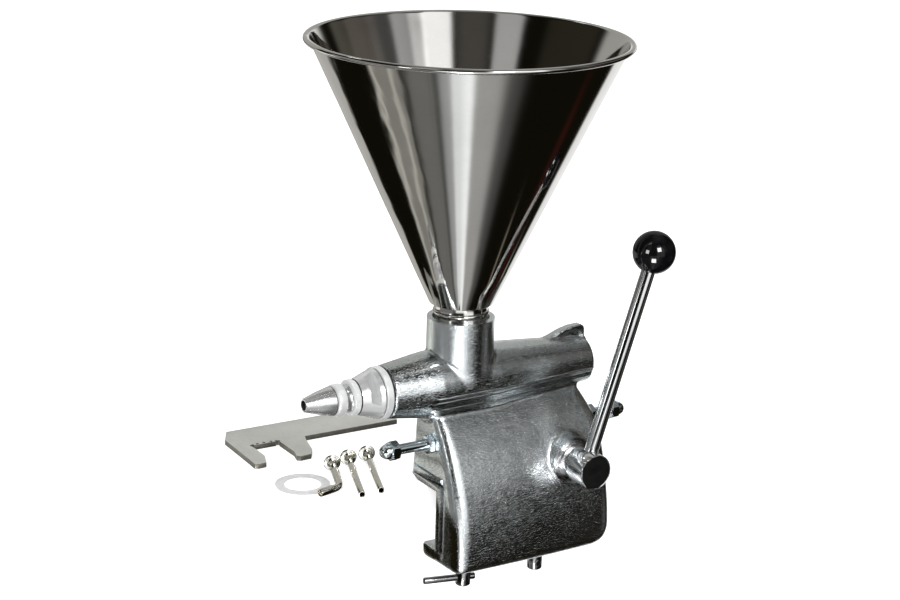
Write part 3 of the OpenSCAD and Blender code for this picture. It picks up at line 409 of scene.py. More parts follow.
class Nodes:
    """Short way to build the node tree of a material or of the world."""

    def __init__(self, owner: bpy.types.ID, output: str = "OutputMaterial") -> None:
        """Starts an empty tree with an output.

        Args:
            owner: the material or the world.
            output: the kind of its output node.
        """
        self.owner = owner
        owner.use_nodes = True
        self.tree = owner.node_tree
        self.tree.nodes.clear()
        self.output = self.add(output)

    def add(self, kind: str, **values: object) -> bpy.types.Node:
        """Adds a node.

        Args:
            kind: the node's type without its prefix.
            **values: its properties, or its inputs by name with spaces as _.

        Returns:
            The node.
        """
        node = self.tree.nodes.new("ShaderNode" + kind)
        for key, value in values.items():
            if hasattr(node, key):
                setattr(node, key, value)
            else:
                node.inputs[key.replace("_", " ")].default_value = value
        return node

    def link(self, a: Socket, b: Socket) -> None:
        """Joins two sockets."""
        self.tree.links.new(a, b)

    def place(self) -> Socket:
        """Object coordinates."""
        return self.add("TexCoord").outputs["Object"]

    def mapped(self, scale: Point, turn: Point = (0, 0, 0)) -> Socket:
        """Object coordinates, turned and stretched.

        Args:
            scale: the stretch on each axis.
            turn: the turn about each axis in radians.

        Returns:
            The coordinates.
        """
        mapping = self.add("Mapping", Rotation=turn, Scale=scale)
        self.link(self.place(), mapping.inputs["Vector"])
        return mapping.outputs["Vector"]

    def split(self, vector: Socket) -> bpy.types.bpy_prop_collection:
        """Takes a vector apart.

        Args:
            vector: the vector.

        Returns:
            The outputs X, Y and Z, by name.
        """
        part = self.add("SeparateXYZ")
        self.link(vector, part.inputs[0])
        return part.outputs

    def noise(self, vector: Socket, scale: float, detail: float = 4.0,
              roughness: float = 0.6) -> Socket:
        """A noise value from 0 to 1.

        Args:
            vector: where it is read.
            scale: how fine it is.
            detail: how many finer layers it has.
            roughness: how strong they are.

        Returns:
            The value.
        """
        n = self.add("TexNoise", Scale=scale, Detail=detail, Roughness=roughness)
        self.link(vector, n.inputs["Vector"])
        return n.outputs["Fac"]

    def ramp(self, value: Socket, low: float, high: float,
             out_low: float = 0.0, out_high: float = 1.0) -> Socket:
        """Maps a value's range onto another, clamped.

        Args:
            value: the value.
            low: where the range starts.
            high: where it ends.
            out_low: what it starts as.
            out_high: what it ends as.

        Returns:
            The mapped value.
        """
        m = self.add("MapRange", From_Min=low, From_Max=high, To_Min=out_low, To_Max=out_high)
        self.link(value, m.inputs["Value"])
        return m.outputs["Result"]

    def math(self, operation: str, a: object, b: object = 0.0) -> Socket:
        """A sum, product or other operation.

        Args:
            operation: the operation's name.
            a: a socket or a number.
            b: another.

        Returns:
            The result.
        """
        m = self.add("Math", operation=operation)
        for socket, value in zip(m.inputs, (a, b)):
            if isinstance(value, (int, float)):
                socket.default_value = value
            else:
                self.link(value, socket)
        return m.outputs[0]

    def mean(self, a: Socket, b: Socket) -> Socket:
        """The mean of two values."""
        return self.math("ADD", self.math("MULTIPLY", a, 0.5), self.math("MULTIPLY", b, 0.5))

    def mix(self, factor: Socket, a: Colour, b: Colour) -> Socket:
        """A colour between two.

        Args:
            factor: 0 for the first, 1 for the second.
            a: the first colour.
            b: the second.

        Returns:
            The colour.
        """
        m = self.add("Mix", data_type="RGBA")
        for socket, colour in ((6, a), (7, b)):
            m.inputs[socket].default_value = (*colour, 1)
        self.link(factor, m.inputs[0])
        return m.outputs[2]

    def bump(self, height: Socket, strength: float, distance: float,
             under: Optional[Socket] = None) -> Socket:
        """A bump from a height.

        Args:
            height: the height, from 0 to 1.
            strength: how much of the bump shows.
            distance: what a height of 1 stands for, in metres.
            under: another normal that it lies on.

        Returns:
            The normal.
        """
        b = self.add("Bump", Strength=strength, Distance=distance)
        self.link(height, b.inputs["Height"])
        if under is not None:
            self.link(under, b.inputs["Normal"])
        return b.outputs["Normal"]

    def surface(self, **values: object) -> bpy.types.Node:
        """The main shader, joined to the output.

        Args:
            **values: its sockets by name, with spaces as _.

        Returns:
            The shader.
        """
        shader = self.add("BsdfPrincipled", **values)
        self.link(shader.outputs[0], self.output.inputs["Surface"])
        return shader

    def emission(self) -> bpy.types.Node:
        """A plain glow, joined to the output.

        Returns:
            The emission node.
        """
        glow = self.add("Emission", Strength=1.0)
        self.link(glow.outputs[0], self.output.inputs["Surface"])
        return glow


@dataclass(frozen=True)
class Metal:
    """A metal finish with tone drift, worn gloss, grain and fine scratches.

    Lengths are in metres, and a noise scale of 300 is about 3 mm. The class's own values place
    what only one piece has: the casting's parting ridges and the folds in the hopper's sheet.
    """

    name: str
    light: Colour
    dark: Colour
    rough_low: float
    rough_high: float
    grain_scale: float = 400.0
    grain_depth: float = 0.0
    stretch: Point = (1.0, 1.0, 1.0)
    wave_depth: float = 0.0
    scratch: float = 0.0
    pits: float = 0.0
    metallic: float = 1.0
    folds: float = 0.0
    ridges: float = 0.0
    front_gloss: float = 1.0

    FRONT_FACE = (-0.0365, -0.032)
    RIDGES_AT = ((-0.15, 0.016), (-0.29, 0.015), (-0.58, 0.02))
    RIDGE_START = (-0.045, -0.01)
    RIDGE_SIDE = (-0.018, -0.024)
    FOLDED_SIDE = (-0.72, -0.97)
    SCRATCHES = ((0.45, 150.0), (1.25, 185.0), (2.0, 160.0), (2.8, 205.0))
    SCRATCH_STRETCH = (1.0, 6.0, 6.0)

    def material(self) -> Material:
        """Builds the material, its bumps one on another.

        Returns:
            The material.
        """
        n = Nodes(bpy.data.materials.new(self.name))
        flat = n.place()
        grain = n.noise(n.mapped(self.stretch), self.grain_scale, 5.0, 0.65)
        tone = n.mean(n.noise(flat, 18.0, 3.0, 0.55), grain)
        shader = n.surface(Metallic=self.metallic)
        n.link(n.mix(n.ramp(tone, 0.38, 0.62), self.dark, self.light), shader.inputs["Base Color"])
        worn = n.ramp(n.mean(n.noise(flat, 95.0), grain), 0.36, 0.64, self.rough_low, self.rough_high)
        if self.front_gloss < 1.0:
            less = n.ramp(n.split(flat)["X"], *self.FRONT_FACE, self.front_gloss, 1.0)
            worn = n.math("MULTIPLY", worn, less)
        n.link(worn, shader.inputs["Roughness"])
        normal = None
        if self.wave_depth:
            normal = n.bump(n.noise(flat, 70.0, 2.0, 0.5), 1.0, self.wave_depth)
        if self.grain_depth:
            normal = n.bump(grain, 1.0, self.grain_depth, normal)
        for depth, layer in ((self.folds, self.add_folds), (self.ridges, self.add_ridges),
                             (self.pits, self.add_pits), (self.scratch, self.add_scratches)):
            if depth:
                normal = layer(n, flat, normal)
        if normal is not None:
            n.link(normal, shader.inputs["Normal"])
        return n.owner

    def add_folds(self, n: Nodes, flat: Socket, normal: Socket) -> Socket:
        """Lengthwise folds in the sheet, on the side towards the nozzle.

        Args:
            n: the material's nodes.
            flat: object coordinates; not used.
            normal: the normal so far.

        Returns:
            The new normal.
        """
        long = n.noise(n.mapped((1.0, 1.0, 0.10)), 34.0, 2.0, 0.5)
        outwards = n.add("VectorMath", operation="NORMALIZE")
        n.link(n.mapped((1.0, 1.0, 0.0)), outwards.inputs[0])
        side = n.ramp(n.split(outwards.outputs[0])["X"], *self.FOLDED_SIDE, 0.06, 1.0)
        return n.bump(n.math("MULTIPLY", long, side), 1.0, self.folds, normal)

    def add_ridges(self, n: Nodes, flat: Socket, normal: Socket) -> Socket:
        """Fine parting ridges along the barrel's near side, at angles from its middle.

        Args:
            n: the material's nodes.
            flat: object coordinates.
            normal: the normal so far.

        Returns:
            The new normal.
        """
        part = n.split(flat)
        up, near = n.math("SUBTRACT", part["Z"], BARREL_Z * MM), n.math("MULTIPLY", part["Y"], -1.0)
        turn = n.math("ARCTAN2", up, near)
        sway = n.math("MULTIPLY", n.math("SUBTRACT", n.noise(flat, 22.0, 2.0), 0.5), 0.10)
        here = n.math("MULTIPLY", n.ramp(part["X"], *self.RIDGE_START), n.ramp(part["Y"], *self.RIDGE_SIDE))
        for angle, width in self.RIDGES_AT:
            off = n.math("DIVIDE", n.math("SUBTRACT", n.math("ADD", turn, sway), angle), width)
            line = n.math("EXPONENT", n.math("MULTIPLY", n.math("MULTIPLY", off, off), -1.0))
            normal = n.bump(n.math("MULTIPLY", line, here), 1.0, self.ridges, normal)
        return normal

    def add_pits(self, n: Nodes, flat: Socket, normal: Socket) -> Socket:
        """Small casting pits, in patches.

        Args:
            n: the material's nodes.
            flat: object coordinates.
            normal: the normal so far.

        Returns:
            The new normal.
        """
        cells = n.add("TexVoronoi", Scale=300.0, Randomness=1.0)
        n.link(flat, cells.inputs["Vector"])
        patches = n.ramp(n.noise(flat, 45.0, 2.0), 0.50, 0.62)
        dots = n.math("MULTIPLY", n.ramp(cells.outputs["Distance"], 0.22, 0.06), patches)
        return n.bump(dots, 0.6, self.pits, normal)

    def add_scratches(self, n: Nodes, flat: Socket,
                      normal: Socket) -> Socket:
        """Short polishing scratches in several directions.

        Args:
            n: the material's nodes.
            flat: object coordinates; not used, as each direction takes its own turned copy.
            normal: the normal so far.

        Returns:
            The new normal.
        """
        for turn, scale in self.SCRATCHES:
            line = n.noise(n.mapped(self.SCRATCH_STRETCH, (0.5, turn, 0.3)), scale, 1.0, 0.5)
            normal = n.bump(n.ramp(line, 0.58, 0.68), 0.5, self.scratch, normal)
        return normal


@dataclass(frozen=True)
class Solid:
    """A plastic or rubber finish with slight mottling, also used for the painted shade in the nozzle's
    grooves and bore.
    """

    name: str
    light: Colour
    dark: Colour
    roughness: float
    see_through: float = 0.0
    grain: float = 0.00002
    shine: float = 0.5

    def material(self) -> Material:
        """Builds the material.

        Returns:
            The material.
        """
        n = Nodes(bpy.data.materials.new(self.name))
        flat = n.place()
        spots = n.noise(flat, 160.0, 3.0)
        shader = n.surface(Transmission_Weight=self.see_through, Specular_IOR_Level=self.shine)
        n.link(n.mix(n.ramp(spots, 0.35, 0.65), self.dark, self.light), shader.inputs["Base Color"])
        n.link(n.ramp(spots, 0.3, 0.7, self.roughness * 0.8, self.roughness * 1.2),
               shader.inputs["Roughness"])
        n.link(n.bump(n.noise(flat, 900.0, 2.0), 0.5, self.grain), shader.inputs["Normal"])
        return n.owner


@dataclass
class Palette:
    """Every finish of the machine, each built once."""

    made: dict[str, Material] = field(default_factory=dict)

    FINISHES = (
        Metal("cast_polished", (0.79, 0.83, 0.85), (0.62, 0.66, 0.67), 0.15, 0.27, 620.0, 0.00004,
              wave_depth=0.00020, scratch=0.00008, pits=0.00014, ridges=0.0019,
              front_gloss=0.4),
        Metal("liner_plate", (0.74, 0.75, 0.75), (0.62, 0.63, 0.63), 0.20, 0.34, 500.0, 0.00003,
              scratch=0.00003),
        Metal("sheet_steel", (0.69, 0.68, 0.66), (0.62, 0.61, 0.59), 0.045, 0.085, 220.0, 0.000002,
              stretch=(1.0, 1.0, 24.0), folds=0.0009),
        Metal("turned_aluminium", (0.96, 0.97, 0.97), (0.86, 0.87, 0.88), 0.18, 0.27, 260.0, 0.00003,
              stretch=(5.0, 0.6, 0.6), metallic=0.66),
        Metal("satin_aluminium", (0.97, 0.98, 0.98), (0.84, 0.85, 0.86), 0.30, 0.42, 420.0, 0.00018,
              stretch=(2.2, 0.9, 0.9), metallic=0.38),
        Metal("tip_aluminium", (0.90, 0.91, 0.91), (0.72, 0.73, 0.74), 0.14, 0.24, 420.0, 0.00004,
              stretch=(0.25, 1.0, 1.0), metallic=0.82),
        Metal("zinc_plated", (0.80, 0.87, 0.90), (0.62, 0.70, 0.75), 0.06, 0.13, 300.0, 0.00001),
        Metal("hub_chrome", (0.82, 0.82, 0.83), (0.74, 0.74, 0.75), 0.03, 0.05, 200.0, 0.000012,
              stretch=(1.0, 0.15, 1.0)),
        Metal("brushed_rod", (0.74, 0.75, 0.76), (0.60, 0.61, 0.62), 0.09, 0.14, 260.0, 0.000002,
              stretch=(1.0, 1.0, 0.06)),
        Metal("nickel_tube", (0.86, 0.84, 0.78), (0.74, 0.72, 0.64), 0.05, 0.11, 300.0, 0.0),
        Metal("dark_screw", (0.44, 0.44, 0.45), (0.32, 0.32, 0.33), 0.10, 0.20, 400.0, 0.00001),
        Metal("ground_plate", (0.84, 0.84, 0.81), (0.70, 0.70, 0.67), 0.30, 0.44, 260.0, 0.00004,
              stretch=(6.0, 0.5, 1.0), scratch=0.00003, metallic=0.75),
        # Painted shade: the spanner's side faces are darker for the dark that they reflect, and rougher than
        # its top.
        Metal("spanner_side_shade", (0.30, 0.29, 0.25), (0.16, 0.155, 0.13), 0.35, 0.50, 220.0, 0.00006,
              stretch=(1.0, 1.0, 8.0), metallic=0.7),
        Metal("plain_steel", (0.50, 0.50, 0.51), (0.40, 0.40, 0.41), 0.22, 0.36, 300.0, 0.00002),
        Metal("cover_steel", (0.60, 0.61, 0.62), (0.46, 0.47, 0.48), 0.24, 0.36, 300.0, 0.00002,
              stretch=(1.0, 1.0, 10.0), scratch=0.00003),
        Metal("bronze", (0.62, 0.44, 0.22), (0.50, 0.34, 0.16), 0.25, 0.40, 300.0, 0.00002),
        Solid("black_knob", (0.0012, 0.0012, 0.0014), (0.0006, 0.0006, 0.0008), 0.03, grain=0.0, shine=0.2),
        Solid("black_cap", (0.0065, 0.0075, 0.0065), (0.004, 0.0045, 0.004), 0.55, shine=0.1),
        # Painted shade: near black for the nozzle's grooves and the inside of the tip's bore, where shade
        # falls.
        Solid("painted_recess_shade", (0.030, 0.032, 0.034), (0.015, 0.016, 0.017), 0.60, shine=0.1),
        Solid("nylon", (0.82, 0.82, 0.80), (0.74, 0.74, 0.72), 0.45),
        Solid("seal_rubber", (0.86, 0.86, 0.86), (0.74, 0.74, 0.75), 0.38, 0.15),
        Solid("dark_rubber", (0.03, 0.03, 0.03), (0.015, 0.015, 0.015), 0.6),
    )

    def get(self, name: str) -> Material:
        """Gives a finish, building it the first time.

        Args:
            name: the finish's name.

        Returns:
            The material.
        """
        if name not in self.made:
            self.made[name] = next(f for f in self.FINISHES if f.name == name).material()
        return self.made[name]


# Casting


def segment_field(px: Field, py: Field, outline: Profile) -> Field:
    """Signed distance of points from a closed outline, negative inside.

    Args:
        px: the points' first coordinate.
        py: their second.
        outline: the outline's corners.

    Returns:
        The distances.
    """
    best = np.full(px.shape, np.inf)
    inside = np.zeros(px.shape, bool)
    for i, (x0, y0) in enumerate(outline):
        x1, y1 = outline[(i + 1) % len(outline)]
        ex, ey = x1 - x0, y1 - y0
        wx, wy = px - x0, py - y0
        t = np.clip((wx * ex + wy * ey) / (ex * ex + ey * ey + 1e-12), 0, 1)
        best = np.minimum(best, (wx - ex * t) ** 2 + (wy - ey * t) ** 2)
        cross = ex * wy - ey * wx
        inside ^= ((y0 <= py) & (y1 > py) & (cross > 0)) | ((y1 <= py) & (y0 > py) & (cross < 0))
    return np.where(inside, -1.0, 1.0) * np.sqrt(best)


def blend_union(a: Field, b: Field, k: float) -> Field:
    """Union of two fields with a fillet of about k."""
    h = np.maximum(k - np.abs(a - b), 0) / k
    return np.minimum(a, b) - h * h * k / 4


def slab(v: Field, low: float, high: float) -> Field:
    """Distance from the room between two planes, negative inside."""
    return np.maximum(low - v, v - high)


def meet(*fields: Field) -> Field:
    """Intersection of fields."""
    return np.maximum.reduce(fields)


def blend_meet(a: Field, b: Field, k: Field) -> Field:
    """Intersection of two fields with an edge rounded by about k."""
    h = np.maximum(k - np.abs(a - b), 0) / k
    return np.maximum(a, b) + h * h * k / 4


@dataclass
class Contour:
    """Turns a field into a mesh that keeps sharp edges."""

    low: Point
    high: Point
    step: float
    refine: int = 4
    probe: float = 0.03
    least_bend: float = 0.1
    sharp_deg: float = 34.0

    def mesh(self, name: str, distance: Callable[[Field], Field]) -> Object:
        """Meshes the field's zero surface.

        Args:
            name: the object's name.
            distance: field of an (n, 3) array of points, negative inside.

        Returns:
            The mesh object.
        """
        low = np.array(self.low)
        shape = np.ceil((np.array(self.high) - low) / self.step).astype(int) + 1
        grid = np.stack(np.meshgrid(*[low[i] + self.step * np.arange(shape[i]) for i in range(3)],
                                    indexing="ij"), -1)
        values = distance(grid.reshape(-1, 3)).reshape(shape)
        inside = values < 0
        cell_shape = shape - 1
        size = int(np.prod(cell_shape))
        sums = np.zeros((13, size))
        quads: list[Field] = []
        for axis in range(3):
            first = [slice(None)] * 3
            second = [slice(None)] * 3
            first[axis], second[axis] = slice(0, -1), slice(1, None)
            change = inside[tuple(first)] != inside[tuple(second)]
            index = np.argwhere(change)
            va = values[tuple(first)][change]
            vb = values[tuple(second)][change]
            start = low + index * self.step
            points = start.copy()
            ta, tb = np.zeros(len(va)), np.ones(len(va))
            t = va / (va - vb)
            for _ in range(self.refine):
                points[:, axis] = start[:, axis] + t * self.step
                v = distance(points)
                side = (v < 0) == (va < 0)
                ta, va = np.where(side, t, ta), np.where(side, v, va)
                tb, vb = np.where(side, tb, t), np.where(side, vb, v)
                t = np.where(np.abs(va - vb) > 1e-9, ta + (tb - ta) * va / (va - vb + 1e-12), t)
                t = np.clip(t, ta, tb)
            points[:, axis] = start[:, axis] + t * self.step
            normal = np.empty_like(points)
            for k in range(3):
                ahead, behind = points.copy(), points.copy()
                ahead[:, k] += self.probe
                behind[:, k] -= self.probe
                normal[:, k] = distance(ahead) - distance(behind)
            normal /= np.linalg.norm(normal, axis=1, keepdims=True) + 1e-12
            u, w = (axis + 1) % 3, (axis + 2) % 3
            ok = np.ones(len(index), bool)
            for k in (u, w):
                ok &= (index[:, k] > 0) & (index[:, k] < shape[k] - 1)
            index, points, normal = index[ok], points[ok], normal[ok]
            starts_inside = inside[tuple(index.T)]
            plane = np.einsum("ij,ij->i", normal, points)
            corners = []
            for du, dw in ((-1, -1), (0, -1), (0, 0), (-1, 0)):
                cell = index.copy()
                cell[:, u] += du
                cell[:, w] += dw
                flat = np.ravel_multi_index(tuple(cell.T), tuple(cell_shape))
                corners.append(flat)
                rows = [normal[:, i] * normal[:, j] for i, j in PAIRS]
                rows += [normal[:, i] * plane for i in range(3)]
                rows += [points[:, 0], points[:, 1], points[:, 2], np.ones(len(index))]
                for r, row in enumerate(rows):
                    sums[r] += np.bincount(flat, row, size)
            quad = np.stack(corners, 1)
            quad[~starts_inside] = quad[~starts_inside][:, ::-1]
            quads.append(quad)
        used = np.flatnonzero(sums[12] > 0)
        s = sums[:, used]
        mean = (s[9:12] / s[12]).T
        ata = np.empty((len(used), 3, 3))
        for row, (i, j) in enumerate(PAIRS):
            ata[:, i, j] = ata[:, j, i] = s[row]
        atb = s[6:9].T - np.einsum("nij,nj->ni", ata, mean)
        lam, vec = np.linalg.eigh(ata)
        keep = lam > self.least_bend * lam[:, 2:3]
        inverse = np.where(keep, 1.0 / np.where(keep, lam, 1.0), 0.0)
        move = np.einsum("nij,nj->ni", vec, inverse * np.einsum("nji,nj->ni", vec, atb))
        cells = np.stack(np.unravel_index(used, tuple(cell_shape)), 1)
        corner = low + cells * self.step
        place = np.clip(mean + move, corner, corner + self.step)
        number = np.full(size, -1)
        number[used] = np.arange(len(used))
        faces = number[np.concatenate(quads)]
        mesh = mesh_data(name, (place * MM).tolist(), faces.tolist())
        shade(mesh, self.sharp_deg)
        return link_object(name, mesh)


@dataclass
class Casting:
    """The polished body: barrel, neck, fin, hollow skirt, lower jaw and shaft boss.

    Its solids are blended first, and then every bore and hollow is cut.
    """

    axis_z: float = BARREL_Z
    front: float = -83.0
    rear: float = 141.0
    barrel_x: tuple[float, ...] = (-90, -83, -44, -34, -24, 10, 20, 30, 140, 150)
    barrel_radii: tuple[float, ...] = (24.1, 25.0, 30.7, 31.8, 32.0, 32.0, 31.8, 31.4, 22.5, 21.8)
    ridge_start: float = -62.0
    body_front: float = -38.0
    body_rear: float = 140.0
    body_top: float = 80.0
    base_z: float = -76.0
    mouth_z: float = -60.0
    near_y: float = -70.0
    near_centre: tuple[float, float] = (150.0, -64.0)
    near_radius: float = 220.0
    near_edge: float = 12.0
    low_edge: float = 8.0
    heel: float = 25.0
    bow: float = 0.00025
    bow_middle: float = 20.0
    bow_fade: float = 20.0
    leg_y: float = -33.0
    pad_top: float = 5.0
    wall: float = 7.0
    barrel_edge: float = 2.5
    barrel_fillet: float = 6.0
    neck_fillet: float = 3.0
    fin_edge: float = 2.0
    fin_fillet: float = 4.0
    boss_fillet: float = 5.0
    neck_radius: float = 32.0
    neck_top: float = 160.5
    fin_half: float = 4.5
    panel_depth: float = 1.1
    shaft: tuple[float, float] = (96.0, 19.0)
    boss_radius: float = 22.0
    boss_face: float = -57.0
    chamber_y: tuple[float, float] = (-41.0, 6.5)
    chamber_z: tuple[float, float] = (11.0, 62.0)
    cylinder_radius: float = 22.0
    plug_radius: float = 18.0
    throat_radius: float = 19.0
    seat_radius: float = 27.0
    shaft_bore: float = 10.3
    stop_at: tuple[float, float] = (-15.0, 44.5)
    stop_hole: float = 5.05
    stop_depths: tuple[float, float] = (-17.0, 119.0)
    clamps_x: tuple[float, float] = (2.0, 85.0)
    clamp_y: float = -16.0
    clamp_hole: float = 6.05
    clamp_top: float = -50.0
    cover_at: tuple[float, float] = (92.0, 37.0)
    cover_half: tuple[float, float] = (42.0, 22.0)
    cover_lip: float = 6.0
    near_boss_y: float = -41.5
    inner_boss_y: tuple[float, float] = (-17.0, -7.0)
    arm_slot_x: tuple[float, float] = (58.5, 137.0)
    arm_slot_half: float = 6.5
    ring_seat: float = 23.0
    grid: float = 1.75

    RIDGE_AND_HOLLOW = ((-9, 2.6, 0.55), (-24, 10, -0.5))
    EDGE_ROUNDING = ((-60, -30, 5, 18), (14, 12, 3, 3))
    PANEL = ((107, 119), (118, 127.5), (127, 129.6), (133, 129), (136, 126), (137, 119))
    PAD_GROOVE = ((-32, 13), (-32, -50), (-33.8, -50), (-38, 15.5), (15, 15.5), (15, 13))

    def near_side(self, z0: float, z1: float, radius: float, steps: int) -> Profile:
        """Points down the curved near side.

        Args:
            z0: the height to start at.
            z1: the height to end at.
            radius: the curve's radius.
            steps: how many points.

        Returns:
            The points.
        """
        cy, cz = self.near_centre
        return [(cy - math.sqrt(radius ** 2 - (z - cz) ** 2), z) for z in np.linspace(z0, z1, steps)]

    def body_outline(self) -> Profile:
        """The skirt and jaw seen along the barrel.

        Returns:
            The outline.
        """
        low, near, far = self.near_centre[1], self.near_edge, self.low_edge
        return [(18, self.pad_top), (13, 62), (11, self.body_top),
                *self.near_side(self.body_top, low, self.near_radius, 22),
                *arc(self.near_y + near, low, near, 180 + 180 / 14, 270, 7),
                *arc(-11, self.base_z + far, far, -90, 0, 7),
                (-3, self.mouth_z), (self.leg_y, self.mouth_z), (self.leg_y, self.pad_top)]

    def heel_arc(self, inset: float, steps: int) -> Profile:
        """The skirt's rounded rear corner, seen from the side."""
        return arc(self.body_rear - self.heel, self.base_z + self.heel, self.heel - inset, -90, 0, steps)

    def side_outline(self) -> Profile:
        """The skirt seen from the side.

        Returns:
            The outline.
        """
        edge = self.low_edge
        nose = arc(self.body_front + edge, self.base_z + edge, edge, 180, 270, 6)
        return [(self.body_front, self.body_top), *nose, *self.heel_arc(0, 12), (self.body_rear, 35),
                (136, 55), (127, 75), (125, self.body_top)]

    def chamber_outline(self) -> Profile:
        """The hollow seen along the barrel.

        Returns:
            The outline.
        """
        (near, far), (low, high) = self.chamber_y, self.chamber_z
        return [(far, low), (far, high), *self.near_side(high, -60, self.near_radius - self.wall, 20),
                (-57, -69), (near, -69), (near, low)]

    def chamber_side(self) -> Profile:
        """The hollow seen from the side."""
        front, high = self.body_front + self.wall, self.chamber_z[1]
        return [(front, high), (front, self.base_z), *self.heel_arc(self.wall, 8), (133, 35), (120, high)]

    def fin_outline(self) -> Profile:
        """The fin seen from the side."""
        rise = [(98 + 36.5 * t, 124.5 + 9.5 * math.sin(math.pi / 2 * t ** 0.9)) for t in np.linspace(0, 1, 9)]
        return [(98, self.axis_z), *rise, *arc(134.5, 128.5, 5.5, 78, 0, 7), (140, self.axis_z)]

    def barrel(self, x: Field, y: Field, z: Field) -> Field:
        """The barrel's field, with the parting ridge and the hollow over it along its near side.

        Args:
            x: the points' X.
            y: their Y.
            z: their Z.

        Returns:
            The field.
        """
        radius = np.interp(x, self.barrel_x, self.barrel_radii)
        angle = np.degrees(np.arctan2(z - self.axis_z, -y))
        starts = np.clip((x - self.ridge_start) / 20, 0, 1)
        side = (np.hypot(y, z - self.axis_z) - radius) * 0.99
        for at, spread, height in self.RIDGE_AND_HOLLOW:
            side = side - height * (np.exp(-((angle - at) / spread) ** 2) * starts)
        return blend_meet(side, slab(x, self.front, self.rear), np.full_like(x, self.barrel_edge))

    def solid(self, x: Field, y: Field, z: Field) -> Field:
        """The outside of the casting, with its fillets.

        Args:
            x: the points' X.
            y: their Y.
            z: their Z.

        Returns:
            The field.
        """
        fade = np.clip((self.leg_y - y) / self.bow_fade, 0.0, 1.0)
        bow = self.bow * (x - self.bow_middle) ** 2 * fade
        across = segment_field(y - bow, z, self.body_outline())
        along = segment_field(x, z, self.side_outline())
        body = blend_meet(across, along, np.interp(y, *self.EDGE_ROUNDING))
        d = blend_union(self.barrel(x, y, z), body, self.barrel_fillet)
        neck = meet(np.hypot(x, y) - self.neck_radius, slab(z, self.axis_z, self.neck_top))
        d = blend_union(d, neck, self.neck_fillet)
        panel = segment_field(x, z, self.PANEL)
        sunk = self.panel_depth / (1 + np.exp(np.clip(panel * 1.6, -40, 40)))
        fin = blend_meet(segment_field(x, z, self.fin_outline()), np.abs(y) - self.fin_half + sunk,
                         np.full_like(x, self.fin_edge))
        d = blend_union(d, fin, self.fin_fillet)
        sx, sz = self.shaft
        boss = meet(np.hypot(x - sx, z - sz) - self.boss_radius, slab(y, self.boss_face, self.chamber_y[0]))
        return blend_union(d, boss, self.boss_fillet)

    def hollows(self, x: Field, y: Field, z: Field) -> list[Field]:
        """Every bore and cavity.

        Args:
            x: the points' X.
            y: their Y.
            z: their Z.

        Returns:
            Their fields, each negative inside.
        """
        from_axis, from_neck = np.hypot(y, z - self.axis_z), np.hypot(x, y)
        from_shaft = np.hypot(x - self.shaft[0], z - self.shaft[1])
        chamber = meet(segment_field(y, z, self.chamber_outline()), segment_field(x, z, self.chamber_side()))
        chamber = np.minimum(chamber, meet(from_shaft - 14.5, slab(y, self.near_boss_y, 0)))
        arm_slot = meet(slab(x, *self.arm_slot_x), np.abs(y) - self.arm_slot_half, slab(z, 21, self.axis_z))
        chamber = np.minimum(chamber, arm_slot)
        inner_boss = meet(from_shaft - 13.7, slab(y, *self.inner_boss_y))
        near_boss = np.maximum(from_shaft - 15.3, y - self.near_boss_y)
        cuts = [np.maximum(chamber, -np.minimum(inner_boss, near_boss))]
        for away, radius, along, ends in ((from_axis, self.cylinder_radius, x, (-95, 100)),
                                          (from_axis, self.plug_radius, x, (99, 150)),
                                          (from_neck, self.seat_radius, z, (130.5, 170)),
                                          (from_neck, self.throat_radius, z, (98, 170)),
                                          (from_shaft, self.shaft_bore, y, (-70, -6))):
            cuts.append(meet(away - radius, slab(along, *ends)))
        cuts.append(np.maximum(from_shaft - self.ring_seat, y - self.boss_face))
        across, up = np.abs(x - self.cover_at[0]), np.abs(z - self.cover_at[1])
        (wide, tall), lip = self.cover_half, self.cover_lip
        cuts += [meet(across - wide, up - tall, 11 - y), meet(across - (wide - lip), up - (tall - lip), -y)]
        stop = np.hypot(y - self.stop_at[0], z - self.stop_at[1]) - self.stop_hole
        cuts.append(np.maximum(stop, np.minimum(x - self.stop_depths[0], self.stop_depths[1] - x)))
        for clamp_x in self.clamps_x:
            clamp = np.hypot(x - clamp_x, y - self.clamp_y) - self.clamp_hole
            cuts.append(np.maximum(clamp, z - self.clamp_top))
        groove = segment_field(y, z, self.PAD_GROOVE)
        cuts.append(np.maximum(groove, np.minimum(slab(x, -60, -35), slab(x, 137, 160))))
        return cuts

    def distance(self, points: Field) -> Field:
        """The casting's field.

        Args:
            points: an (n, 3) array in millimetres.

        Returns:
            The field at each point, negative inside.
        """
        x, y, z = points.T
        return meet(self.solid(x, y, z), *(-cut for cut in self.hollows(x, y, z)))

    def build(self, palette: Palette) -> None:
        """Meshes the casting and dresses it.

        Args:
            palette: the machine's finishes.
        """
        contour = Contour((-85.3, -72.3, -78.3), (143.3, 34.3, 162.7), self.grid)
        fit(contour.mesh("casting", self.distance), "frame", "cast_aluminium", palette.get("cast_polished"),
            "body_casting")


# Round pieces


